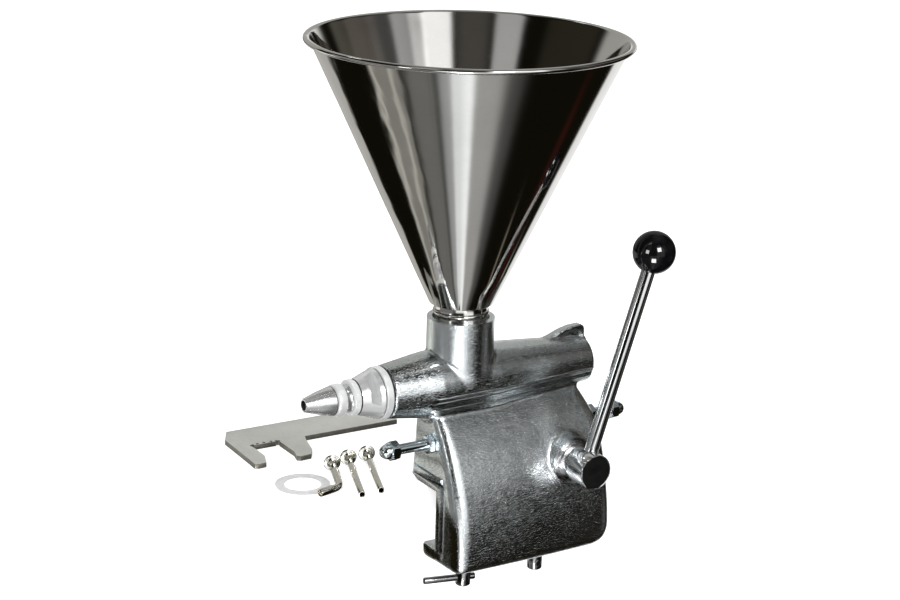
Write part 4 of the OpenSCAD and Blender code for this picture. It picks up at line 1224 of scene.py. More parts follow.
@dataclass
class Hopper:
    """The sheet cone with its rolled bead, and the spigot that drops into the neck."""

    low: float = 174.5
    small: float = 30.25
    rim_z: float = 421.0
    rim_in: float = 145.5
    bead: float = 2.5
    sheet: float = 1.2
    waist: float = 24.75
    fit_radius: float = 26.95
    neck_top: float = 160.5
    spigot_low: float = 132.5

    def cone_profile(self) -> Profile:
        """Outline of the cone, outer side first.

        Returns:
            The outline.
        """
        slope = (self.rim_in - self.small) / (self.rim_z - self.low)
        skin = self.sheet * math.hypot(1, slope)
        under = 0.8 * self.bead
        roll = arc(self.rim_in + self.bead, self.rim_z, self.bead, -135, 100, 22)
        wide, tall = self.rim_in - self.small, self.rim_z - self.low
        out = [(self.small + wide * t, self.low + tall * t) for t in np.linspace(0.12, 0.97, 8)]
        back = [(r - skin, z) for r, z in reversed(out)]
        return [(self.waist - self.sheet, self.low), (self.small - 0.7, self.low),
                (self.small - 0.1, self.low + 0.3), (self.small + 0.3, self.low + 0.9), *out,
                (self.rim_in - under * slope, self.rim_z - under), *roll,
                (self.rim_in - 0.2, self.rim_z + 2.1), (self.rim_in - 0.8, self.rim_z + 1.2),
                (self.rim_in - skin, self.rim_z), *back,
                (self.small - skin - 0.6, self.low + 2.4), (self.waist - self.sheet, self.low + self.sheet)]

    def spigot_profile(self) -> Profile:
        """Outline of the spigot with the bead above the neck.

        Returns:
            The outline.
        """
        inner, waist, top = self.waist - self.sheet, self.waist, self.neck_top
        bead = [(waist + 2.0 * math.cos(a), top + 5.5 + 2.4 * math.sin(a))
                for a in np.radians(np.linspace(-80, 80, 11))]
        return [(inner, self.spigot_low), (self.fit_radius, self.spigot_low), (self.fit_radius, top - 4),
                (self.fit_radius - 0.8, top - 2.6), (waist + 0.3, top - 1.4), (waist, top + 2.0), *bead,
                (waist, top + 9.0), (waist, self.low), (inner, self.low)]

    def build(self, palette: Palette) -> None:
        """Makes both pieces.

        Args:
            palette: the machine's finishes.
        """
        for name, profile, segments, sharp_deg in (("cone", self.cone_profile(), 256, 50),
                                                   ("spigot", self.spigot_profile(), 160, 40)):
            piece = spun(name, profile, Axis.Z, (0, 0, 0), segments, sharp_deg)
            fit(piece, "hopper", "hopper_steel", palette.get("sheet_steel"), "hopper_" + name)


@dataclass
class Nozzle:
    """The union, its lock ring and the tip, on the barrel's axis."""

    axis_z: float = BARREL_Z
    rear: float = -84.5
    cone_front: float = -113.5
    lock_front: float = -121.0
    groove_front: float = -127.0
    band_front: float = -137.0
    mouth: float = -165.5
    lock_radius: float = 16.8
    ribs: int = 72
    across_flats: float = 29.0
    flat_turn: float = 38.0

    def place(self) -> Point:
        """Where distance 0 of the profiles lies."""
        return (0.0, 0.0, self.axis_z)

    def lock_ring(self, metal: Material) -> Object:
        """The lock ring, and its straight knurling repeated round it by Geometry Nodes.

        Args:
            metal: the knurling's finish.

        Returns:
            The ring.
        """
        front, back, r = self.lock_front, self.cone_front, self.lock_radius
        side = [(12, front), (r - 1.2, front), (r - 0.3, front + 0.6), (r, front + 1.2)]
        profile = [*side, *((radius, front + back - x) for radius, x in reversed(side))]
        ring = spun("lock_ring_core", round_corners(profile, 0.2), Axis.X, self.place(), 144)
        half = (back - front) / 2 - 1.0
        rib = [(-0.5, -0.42, -half), (0.0, -0.42, -half), (0.32, 0.0, 0.4 - half), (0.0, 0.42, -half),
               (-0.5, 0.42, -half)]
        verts = rib + [(x, y, -z) for x, y, z in rib]
        sides = [(i, (i + 1) % 5, (i + 1) % 5 + 5, i + 5) for i in range(5)]
        piece = add_mesh("rib", verts, [(4, 3, 2, 1, 0), (5, 6, 7, 8, 9), *sides], 25)
        middle = [c * MM for c in ((front + back) / 2, 0.0, self.axis_z)]
        turn = (0.0, math.pi / 2, 0.0)
        ribs = Pattern("knurl_ring", Layout.RING).make("knurling", piece, Count=self.ribs, Width=r * MM,
                                                       Place=middle, Turn=turn, Finish=metal)
        return join("lock_ring", [ring, ribs])

    def union(self) -> Object:
        """The threaded ring and cone, with two spanner flats milled across the cone.

        Returns:
            The union.
        """
        rear, front = self.rear, self.cone_front
        step = rear - 8.0
        thread = [(21.9 - 0.5 * (i % 2), rear + 0.6 + 0.75 * i) for i in range(17)]
        profile = [(9.5, -132.0), (12.0, -132.0), (12.0, front), (16.2, front), (16.8, front + 0.6),
                   (23.6, step - 0.4), (23.75, step), (23.1, step + 0.3), (23.1, step + 0.9),
                   (24.5, step + 1.0), (24.9, step + 1.4), (25.0, step + 1.8), (25.0, rear - 0.5),
                   (24.6, rear), (21.9, rear), *thread,
                   (21.4, rear + 13.5), (18.0, rear + 13.5), (18.0, step + 3.0), (9.5, step + 3.0)]
        body = spun("union", profile, Axis.X, self.place(), 160, 12)
        turn = Matrix.Rotation(math.radians(-self.flat_turn), 3, "X")
        far = self.across_flats / 2
        for side in (-1.0, 1.0):
            box = block("cutter", (step - 13.0, step - 4.0), (side * far, side * (far + 20)), (-30, 30), turn,
                        self.place())
            cut = body.modifiers.new("flat", "BOOLEAN")
            cut.operation, cut.solver, cut.object = "DIFFERENCE", "EXACT", box
            mesh = bpy.data.meshes.new_from_object(body.evaluated_get(bpy.context.evaluated_depsgraph_get()))
            body.modifiers.remove(cut)
            body.data = mesh
            bpy.data.objects.remove(box, do_unlink=True)
        body.data.name = "union"
        tidy_normals(body, 12, recalc=False)
        return body

    def repaint(self, obj: Object, finish: Material, x0: float, x1: float,
                r0: float, r1: float) -> None:
        """Gives some of a turned piece's faces another finish, or painted shade.

        Args:
            obj: the piece.
            finish: the other finish, or the painted shade.
            x0: where the faces start along the axis.
            x1: where they end.
            r0: their least radius.
            r1: their greatest radius.
        """
        obj.data.materials.append(finish)
        index = len(obj.data.materials) - 1
        for face in obj.data.polygons:
            x, y, z = (c / MM for c in face.center)
            if x0 < x < x1 and r0 < math.hypot(y, z - self.axis_z) < r1:
                face.material_index = index

    def tip(self) -> Object:
        """The tip: groove, rounded band and cone round the bore, whose inside gets painted shade in build.

        Returns:
            The tip.
        """
        m, b, g, r = self.mouth, self.band_front, self.groove_front, self.lock_front
        band = [(11.6 + 3.4 * math.sin(a), b + 3.0 - 3.0 * math.cos(a)) for a in np.radians((20, 45, 70, 90))]
        profile = [(4.6, m + 0.3), (4.9, m), (5.9, m), (6.4, m + 0.25), (6.6, m + 1.0), (10.6, m + 14),
                   (13.7, b - 0.7), (13.7, b - 0.1), *band, (15.0, g - 1.6), (14.7, g - 0.6), (14.2, g - 0.1),
                   (13.3, g), (13.0, g + 0.7), (12.9, (g + r) / 2), (13.0, r - 0.7), (13.5, r), (12.05, r),
                   (12.05, -132.0), (9.5, -132.0), (4.5, m + 6)]
        return spun("tip", profile, Axis.X, self.place(), 144, 34)

    def build(self, palette: Palette) -> None:
        """Makes the pieces.

        Args:
            palette: the machine's finishes.
        """
        metal = palette.get("turned_aluminium")
        satin, bright, shade = (palette.get(n) for n in ("satin_aluminium", "tip_aluminium", "painted_recess_shade"))
        union = fit(self.union(), "nozzle_union", "cast_aluminium", metal, "barrel_union")
        self.repaint(union, satin, self.rear - 7.2, self.rear + 0.1, 23.5, 30.0)
        # Painted shade in the union's two grooves.
        self.repaint(union, shade, self.rear - 8.0, self.rear - 7.0, 22.9, 23.5)
        self.repaint(union, shade, self.cone_front - 0.1, self.cone_front + 0.35, 12.0, 16.7)
        fit(self.lock_ring(satin), "nozzle_union", "cast_aluminium", satin, "nozzle_lock_ring")
        tip = fit(self.tip(), "nozzle_union", "cast_aluminium", satin, "nozzle_tip")
        self.repaint(tip, bright, self.mouth - 0.1, self.band_front - 0.4, 4.8, 14.2)
        self.repaint(tip, bright, self.groove_front + 0.1, self.lock_front, 12.6, 13.6)
        # Painted shade inside the tip's bore and in its two grooves.
        self.repaint(tip, shade, self.mouth - 0.1, -131.0, 0.0, 4.75)
        self.repaint(tip, shade, self.band_front - 0.7, self.band_front + 0.1, 12.9, 13.75)
        self.repaint(tip, shade, self.groove_front - 0.15, self.groove_front + 0.4, 12.6, 14.3)
        seal = [(22.0, self.rear), (24.4, self.rear), (24.4, -83.0), (22.0, -83.0)]
        seal = spun("seal_ring", round_corners(seal, 0.3), Axis.X, self.place())
        fit(seal, "frame", "white_rubber", palette.get("dark_rubber"), "union_seal")


@dataclass
class Lever:
    """The hub on the shaft's end, the leaning rod and the ball knob."""

    shaft: tuple[float, float] = (96.0, 19.0)
    lean_deg: float = 18.0
    rod_y: float = -78.7
    screw_y: float = -88.95
    hub_face: float = -60.7
    hub_end: float = -95.7
    hub_radius: float = 17.2
    rod_radius: float = 6.8
    length: float = 214.0
    knob_radius: float = 20.5

    def hub(self) -> Object:
        """The hub with the rim round its end cap.

        Returns:
            The hub.
        """
        r, a, b = self.hub_radius, self.hub_face, self.hub_end
        profile = [(8.0, a), (r - 0.8, a), (r - 0.2, a - 0.3), (r, a - 0.9), (r, b + 1.4),
                   (r - 0.35, b + 0.5), (r - 0.9, b), (r - 1.5, b + 0.2), (r - 1.5, b + 2.0),
                   (0, b + 2.0), (0, b + 10), (8.0, b + 10)]
        return spun("hub", profile, Axis.Y, self.on_shaft())

    def on_shaft(self, y: float = 0.0) -> Point:
        """A point on the shaft's axis."""
        return (self.shaft[0], y, self.shaft[1])

    def turn(self) -> Matrix:
        """The rod's lean."""
        return Matrix.Rotation(math.radians(self.lean_deg), 3, "Y")

    def rod(self) -> Object:
        """The rod, with a slight shoulder where it enters the hub.

        Returns:
            The rod.
        """
        r = self.rod_radius
        profile = [(0, 9), (r, 9), (r, 17.2), (r - 0.25, 17.8), (r - 0.25, 19.4), (r, 20), (r, 198),
                   (r - 0.6, 199), (0, 199)]
        return spun("rod", round_corners(profile, 0.15), Axis.Z, self.on_shaft(self.rod_y), 96,
                    turn=self.turn())

    def knob(self) -> Object:
        """The ball, flat at the rod, with a small collar.

        Returns:
            The knob.
        """
        r, rod, middle = self.knob_radius, self.rod_radius, self.length
        ball = arc(0, middle, r, -66, 90, 48)
        profile = [(rod + 0.05, middle - 18.6), (rod + 0.5, middle - 19.0), *ball[:-1], (0, middle + r),
                   (0, middle - 6), (rod + 0.05, middle - 6)]
        return spun("knob", profile, Axis.Z, self.on_shaft(self.rod_y), 96, 40, self.turn())

    def build(self, palette: Palette) -> None:
        """Makes the pieces.

        Args:
            palette: the machine's finishes.
        """
        fit(self.hub(), "lever", "bright_chrome", palette.get("hub_chrome"), "lever_hub")
        edge, top = self.hub_radius - 1.65, self.hub_radius
        cap = [(0, -93.7), (edge, -93.7), (edge, -95.0), (edge - 0.8, -95.45), (0, -95.45)]
        cap = spun("end_cap", round_corners(cap, 0.3), Axis.Y, self.on_shaft())
        fit(cap, "lever", "black_plastic", palette.get("black_cap"), "hub_end_cap")
        fit(self.rod(), "lever", "bright_chrome", palette.get("brushed_rod"), "lever_rod")
        fit(self.knob(), "lever", "black_plastic", palette.get("black_knob"), "ball_knob")
        ring = [(8.1, -57), (19, -57), (19, -58.4), (17.6, -58.6), (17.6, -60), (8.1, -60)]
        ring = spun("flange_ring", round_corners(ring, 0.4), Axis.Y, self.on_shaft())
        fit(ring, "frame", "cast_aluminium", palette.get("hub_chrome"), "bearing_ring")
        screw = [(0, 8), (2.45, 8), (2.45, top - 0.2), (2.1, top + 0.25), (1.35, top + 0.25),
                 (1.2, top - 1.6), (0, top - 1.6)]
        screw = spun("set_screw", round_corners(screw, 0.1), Axis.Z, self.on_shaft(self.screw_y), 48,
                     turn=self.turn())
        fit(screw, "lever", "steel", palette.get("dark_screw"), "hub_set_screw")


def hexagon(name: str, x0: float, x1: float, flats: float, bore: float, centre: tuple[float, float],
            dome: float = 0.0, reach: float = 0.0, corner: float = 1.3) -> Object:
    """Makes a nut along X with chamfered corners, open at x0, with an optional dome at x1.

    Args:
        name: the piece's name.
        x0: the open end.
        x1: the other end, in either direction.
        flats: width across flats.
        bore: bore diameter.
        centre: y and z of its axis.
        dome: radius of the dome, 0 for a plain nut.
        reach: how far the dome stands out past x1.
        corner: how far the chamfer reaches inwards.

    Returns:
        The nut.
    """
    way = 1.0 if x1 > x0 else -1.0
    length, steps = abs(x1 - x0), 144
    half = flats / 2
    rows: list[tuple[float, float, bool]] = [(bore / 2, 0.0, False), (half - 0.9, 0.0, False)]
    fine = [0.15, 0.35, 0.6, 0.9, 1.2]
    rows += [(half - 0.5 + corner * 1.7 * t, t, True) for t in fine]
    rows += [(half - 0.5 + corner * 1.7 * t, length - t, True) for t in reversed(fine)]
    if dome:
        rows += [(dome * math.cos(a) ** 0.9, length - 0.1 + reach * math.sin(a), False)
                 for a in np.radians(np.linspace(0, 88, 20))]
        rows += [(r, t, False) for r, t in ((0.0, length - 0.1 + reach), (0.0, length - 1.0),
                                            (bore / 2, length - 1.0))]
    else:
        rows += [(half - 0.9, length, False), (bore / 2, length, False)]
    profile = [(r, t) for r, t, _ in rows]
    verts, faces = lathe(profile, Axis.X, (0, 0, 0), steps)
    limits: list[bool] = []
    for r, _, six in rows:
        limits += [six] * (1 if r < MERGE else steps)
    out: list[Point] = []
    for (x, y, z), six in zip(verts, limits):
        if six:
            r, a = math.hypot(y, z), math.atan2(z, y)
            k = min(r, half * hexagon_reach(a)) / r
            y, z = y * k, z * k
        out.append((x0 + way * x, y + centre[0], z + centre[1]))
    return add_mesh(name, out, faces, 30)


@dataclass
class Stops:
    """Both stop screws with their lock nuts and cap nuts."""

    centre: tuple[float, float] = (-15.0, 44.5)
    flats: float = 17.0
    bore: float = 10.0

    def build(self, palette: Palette) -> None:
        """Makes the nuts and screws.

        Args:
            palette: the machine's finishes.
        """
        zinc = palette.get("zinc_plated")
        for end, face, cap, way in (("front", -38.0, -75.0, -1.0), ("rear", 140.0, 165.0, 1.0)):
            nut = hexagon(f"{end}_nut", face, face + way * 6, self.flats, self.bore + 0.1, self.centre)
            fit(nut, "frame", "zinc_steel", zinc, f"{end}_lock_nut")
            top = hexagon(f"{end}_cap", cap, cap + way * 8.5, self.flats, self.bore, self.centre, 7.4, 9.8)
            fit(top, f"{end}_stop", "zinc_steel", zinc, f"{end}_cap_nut")
            screw = dressed_copy(f"{end}_stop_screw", f"{end}_screw", 0.0)
            fit(screw, f"{end}_stop", "zinc_steel", zinc, f"{end}_stop_screw")


class Pattern:
    """Geometry Nodes that repeat one piece over a grid of points or round a ring."""

    SHARP_DEG = 30.0
    SPREAD = {
        Layout.GRID: {"Count": "Vertices X", "Rows": "Vertices Y", "Width": "Size X", "Depth": "Size Y"},
        Layout.RING: {"Count": "Vertices", "Width": "Radius"},
    }

    def __init__(self, name: str, layout: Layout) -> None:
        """Builds the node tree.

        Args:
            name: the pattern's name.
            layout: how the copies lie; on a ring each one faces outwards.
        """
        self.tree = bpy.data.node_groups.new(name, "GeometryNodeTree")
        face = self.tree.interface
        face.new_socket("Geometry", in_out="OUTPUT", socket_type="NodeSocketGeometry")
        kinds = {"Piece": "Object", "Count": "Int", "Rows": "Int", "Width": "Float", "Depth": "Float",
                 "Place": "Vector", "Turn": "Vector", "Finish": "Material"}
        self.ids = {key: face.new_socket(key, in_out="INPUT", socket_type="NodeSocket" + kind).identifier
                    for key, kind in kinds.items()}
        inputs, output = self.node("NodeGroupInput"), self.node("NodeGroupOutput")
        info, copies = self.node("GeometryNodeObjectInfo"), self.node("GeometryNodeInstanceOnPoints")
        solid, place = self.node("GeometryNodeRealizeInstances"), self.node("GeometryNodeTransform")
        paint = self.node("GeometryNodeSetMaterial")
        points = self.node("GeometryNodeMeshCircle" if layout is Layout.RING else "GeometryNodeMeshGrid")
        if layout is Layout.RING:
            spot = self.node("GeometryNodeInputPosition")
            outwards = self.node("FunctionNodeAlignRotationToVector")
            outwards.axis = "X"
            self.join(spot, 0, outwards, "Vector")
            self.join(outwards, 0, copies, "Rotation")
        for key, socket in self.SPREAD[layout].items():
            self.join(inputs, key, points, socket)
        for a, out, b, into in (
                (inputs, "Piece", info, "Object"), (points, "Mesh", copies, "Points"),
                (info, "Geometry", copies, "Instance"), (copies, 0, solid, 0), (solid, 0, place, "Geometry"),
                (inputs, "Place", place, "Translation"), (inputs, "Turn", place, "Rotation"),
                (place, 0, paint, "Geometry"), (inputs, "Finish", paint, "Material"), (paint, 0, output, 0)):
            self.join(a, out, b, into)

    def node(self, kind: str) -> bpy.types.Node:
        """Adds a node."""
        return self.tree.nodes.new(kind)

    def join(self, a: bpy.types.Node, out: object, b: bpy.types.Node, into: object) -> None:
        """Joins an output of one node to an input of another."""
        self.tree.links.new(a.outputs[out], b.inputs[into])

    def make(self, name: str, piece: Object, **values: object) -> Object:
        """Repeats a piece into one plain mesh; the piece itself goes.

        Args:
            name: the finished object's name.
            piece: what is repeated, built round the origin.
            **values: the pattern's inputs by name, in metres and radians.

        Returns:
            The finished object.
        """
        host = add_mesh(name + "_points", [(0, 0, 0), (1, 0, 0), (0, 1, 0)], [(0, 1, 2)])
        modifier = host.modifiers.new("pattern", "NODES")
        modifier.node_group = self.tree
        for key, value in {"Piece": piece, **values}.items():
            modifier[self.ids[key]] = value
        graph = bpy.context.evaluated_depsgraph_get()
        mesh = bpy.data.meshes.new_from_object(host.evaluated_get(graph))
        host.modifiers.remove(modifier)
        for old in (host, piece):
            bpy.data.objects.remove(old, do_unlink=True)
        mesh.name = name
        mesh.set_sharp_from_angle(angle=math.radians(self.SHARP_DEG))
        return link_object(name, mesh)


@dataclass
class Plates:
    """The table pad, the cover on the far side, the rear plug, and the screws that hold them."""

    pad_x: tuple[float, float] = (-22.0, 124.0)
    pad_y: tuple[float, float] = (-19.98, -5.94)
    cover_x: tuple[float, float] = (54.0, 130.0)
    cover_z: tuple[float, float] = (19.0, 55.0)
    cover_face: float = 14.0

    @staticmethod
    def screw(name: str, head: float, height: float, shank: float, reach: float,
              socket: float) -> Object:
        """A screw along Z with a hexagon socket, its head's underside at 0 and its shank below.

        Args:
            name: the screw's name.
            head: the head's radius.
            height: the head's height.
            shank: the shank's radius.
            reach: the shank's length.
            socket: from the middle to a corner of the socket.

        Returns:
            The screw.
        """
        profile = [(0, -reach), (shank - 0.4, -reach), (shank, -reach + 0.4), (shank, 0), (head, 0),
                   (head, height - 0.45), (head - 0.45, height), (socket * 1.25, height),
                   (socket, height - 0.2), (socket, height - 1.3), (0, height - 1.5)]
        verts, faces = lathe(profile, Axis.Z, (0, 0, 0), 48)
        out = []
        for x, y, z in verts:
            if height - 1.4 < z < height - 0.1 and 0 < math.hypot(x, y) < socket * 1.1:
                k = math.cos(math.pi / 6) * hexagon_reach(math.atan2(y, x))
                x, y = x * k, y * k
            out.append((x, y, z))
        return add_mesh(name, out, faces, 30)

    def build(self, palette: Palette) -> None:
        """Makes the plates and their screws.

        Args:
            palette: the machine's finishes.
        """
        for node, finish in (("table_pad", "liner_plate"), ("rear_plug", "liner_plate"),
                             ("cover_plate", "cover_steel")):
            slot = "steel" if node == "cover_plate" else "cast_aluminium"
            fit(dressed_copy(node, node + "_plate", 0.4), "frame", slot, palette.get(finish), node)
        grid, steel = Pattern("screw_grid", Layout.GRID), palette.get("dark_screw")
        spots = (
            ("pad_screws", self.pad_x, self.pad_y, self.screw("pad_screw", 5.0, 3.0, 2.5, 6.5, 2.1),
             lambda a, b: (a, b, 3.5), (math.pi, 0.0, 0.0)),
            ("cover_screws", self.cover_x, self.cover_z, self.screw("cover_screw", 3.75, 2.2, 2.0, 8.0, 1.5),
             lambda a, b: (a, self.cover_face, b), (-math.pi / 2, 0.0, 0.0)),
        )
        for node, us, vs, piece, where, turn in spots:
            place = where((us[0] + us[1]) / 2, (vs[0] + vs[1]) / 2)
            width, depth = (us[1] - us[0]) * MM, (vs[1] - vs[0]) * MM
            obj = grid.make(node + "_set", piece, Count=2, Rows=2, Width=width, Depth=depth,
                            Place=[c * MM for c in place], Turn=turn, Finish=steel)
            fit(obj, "frame", "steel", steel, node)


@dataclass
class Clamps:
    """Both clamp screws with their tommy bars and swivel pads."""

    PARTS = (("clamp_screw", "clamp", 0.35), ("clamp_pad", "pad", 0.35), ("tommy_bar", "bar", 0.5))

    def build(self, palette: Palette) -> None:
        """Dresses the screws, bars and pads.

        Args:
            palette: the machine's finishes.
        """
        steel = palette.get("dark_screw")
        for end in ("front", "rear"):
            for part, body, soften in self.PARTS:
                node = f"{end}_{part}"
                fit(dressed_copy(node, node + "_steel", soften), f"{end}_{body}", "dark_steel", steel, node)


@dataclass
class Works:
    """What is left: the piston and its drive, the bushes, the seals and the outlet valve."""

    spring: str = "valve_spring"
    spring_end: Point = (-0.0895, 0.0, 0.098)
    spring_keep: float = 0.695

    FINISH_OF = {"cast_aluminium": "turned_aluminium", "steel": "plain_steel", "bronze": "bronze",
                 "white_nylon": "nylon", "white_rubber": "seal_rubber", "black_rubber": "dark_rubber"}

    def build(self, palette: Palette) -> None:
        """Dresses every node that no other piece stands for, and gives the valve's spring its own copy of its
        mesh.

        Args:
            palette: the machine's finishes.
        """
        slots = {s["node"]: s["material_slot"] for s in FRAME["record"]["subparts"]}
        bodies = {n: b for b, nodes in FRAME["record"]["behaviour"]["bodies"].items() for n in nodes}
        for node in FRAME["nodes"]:
            if node in FRAME["covered"]:
                continue
            slot = slots[node]
            finish = palette.get(self.FINISH_OF[slot])
            obj = fit(dressed_copy(node, node + "_dressed"), bodies[node], slot, finish, node)
            if node == self.spring:
                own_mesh(obj)


@dataclass
class Accessories:
    """What lies on the table: spanner, gasket ring and the three filling tubes."""

    gasket_at: tuple[float, float] = (-141.0, 46.0)
    gasket_rise: float = 0.25
    gasket_wave: float = 0.224
    flange_radius: float = 8.25
    tube_wall: float = 0.7
    turn_deg: float = -20.0

    def gasket(self) -> Object:
        """The thin ring, slightly wavy.

        Returns:
            The ring.
        """
        profile = [(17.6, 0.15), (25.9, 0.15), (26.15, 0.5), (25.9, 0.95), (17.6, 0.95), (17.35, 0.5)]
        verts, faces = lathe(profile, Axis.Z, (*self.gasket_at, 0), 160)
        out = []
        for x, y, z in verts:
            a = math.atan2(y - self.gasket_at[1], x - self.gasket_at[0])
            out.append((x, y, z + self.gasket_rise + self.gasket_wave * math.sin(3 * a + 0.6)))
        return add_mesh("gasket_ring", out, faces, 50)

    def flange(self, name: str, at: tuple[float, float], length: float, tube: float) -> Object:
        """A filling tube's domed flange, lying on its edge.

        Args:
            name: the flange's name.
            at: the middle of its face, on the bench.
            length: the tube's length, which sets its tilt.
            tube: the tube's diameter.

        Returns:
            The flange.
        """
        tilt = math.asin((2 * self.flange_radius - tube) / 2 / length)
        lay = Matrix.Rotation(math.pi / 2 + tilt, 3, "X")
        lay = Matrix.Rotation(math.radians(self.turn_deg), 3, "Z") @ lay
        r, pipe, bore = self.flange_radius, tube / 2, tube / 2 - self.tube_wall
        profile = [(bore, 0.25), (bore + 0.3, 0.0), (r * 0.62, 0.0), (r * 0.8, 0.12), (r - 0.6, 0.36),
                   (r - 0.15, 0.8), (r, 1.2), (r - 0.15, 1.6), (r - 0.7, 1.95), (pipe + 2.4, 2.05),
                   (pipe + 1.2, 2.35), (pipe + 0.4, 2.8), (pipe + 0.02, 3.0), (pipe + 0.02, 2.0), (bore, 2.0)]
        return spun(name, profile, Axis.Z, (*at, r), 72, 34, lay)

    def build(self, palette: Palette) -> None:
        """Makes the pieces.

        Args:
            palette: the machine's finishes.
        """
        fit(self.gasket(), "loose_gasket", "white_rubber", palette.get("seal_rubber"), "spare_gasket")
        spanner = dressed_copy("spanner", "flat_key", 0.35, 40)
        fit(spanner, "flat_spanner", "spanner_steel", palette.get("ground_plate"), "spanner")
        # The side faces take the darker finish: painted shade for the dark they reflect, on rougher steel.
        spanner.data.materials.append(palette.get("spanner_side_shade"))
        for face in spanner.data.polygons:
            face.material_index = int(abs(face.normal.z) < 0.5)
        nickel = palette.get("nickel_tube")
        for side, at, length, tube in (("left", (-78.0, 72.0), 86.0, 6.2),
                                       ("right", (-57.0, 73.0), 86.0, 6.2),
                                       ("bent", (-99.0, 66.0), 58.0, 7.5)):
            pipe = dressed_copy(f"{side}_tube", f"{side}_pipe", 0.12, 40)
            fit(pipe, f"{side}_spout", "bright_chrome", nickel, f"{side}_tube")
            flange = self.flange(f"{side}_flange", at, length, tube)
            fit(flange, f"{side}_spout", "bright_chrome", nickel, f"{side}_tube_flange")


# Stage


@dataclass(frozen=True)
class Glow:
    """A soft bright patch that metal reflects, placed by direction in degrees."""

    azimuth: float
    width: float
    low: float
    high: float
    level: float
    tint: Colour = WHITE
    soft: float = 4.0


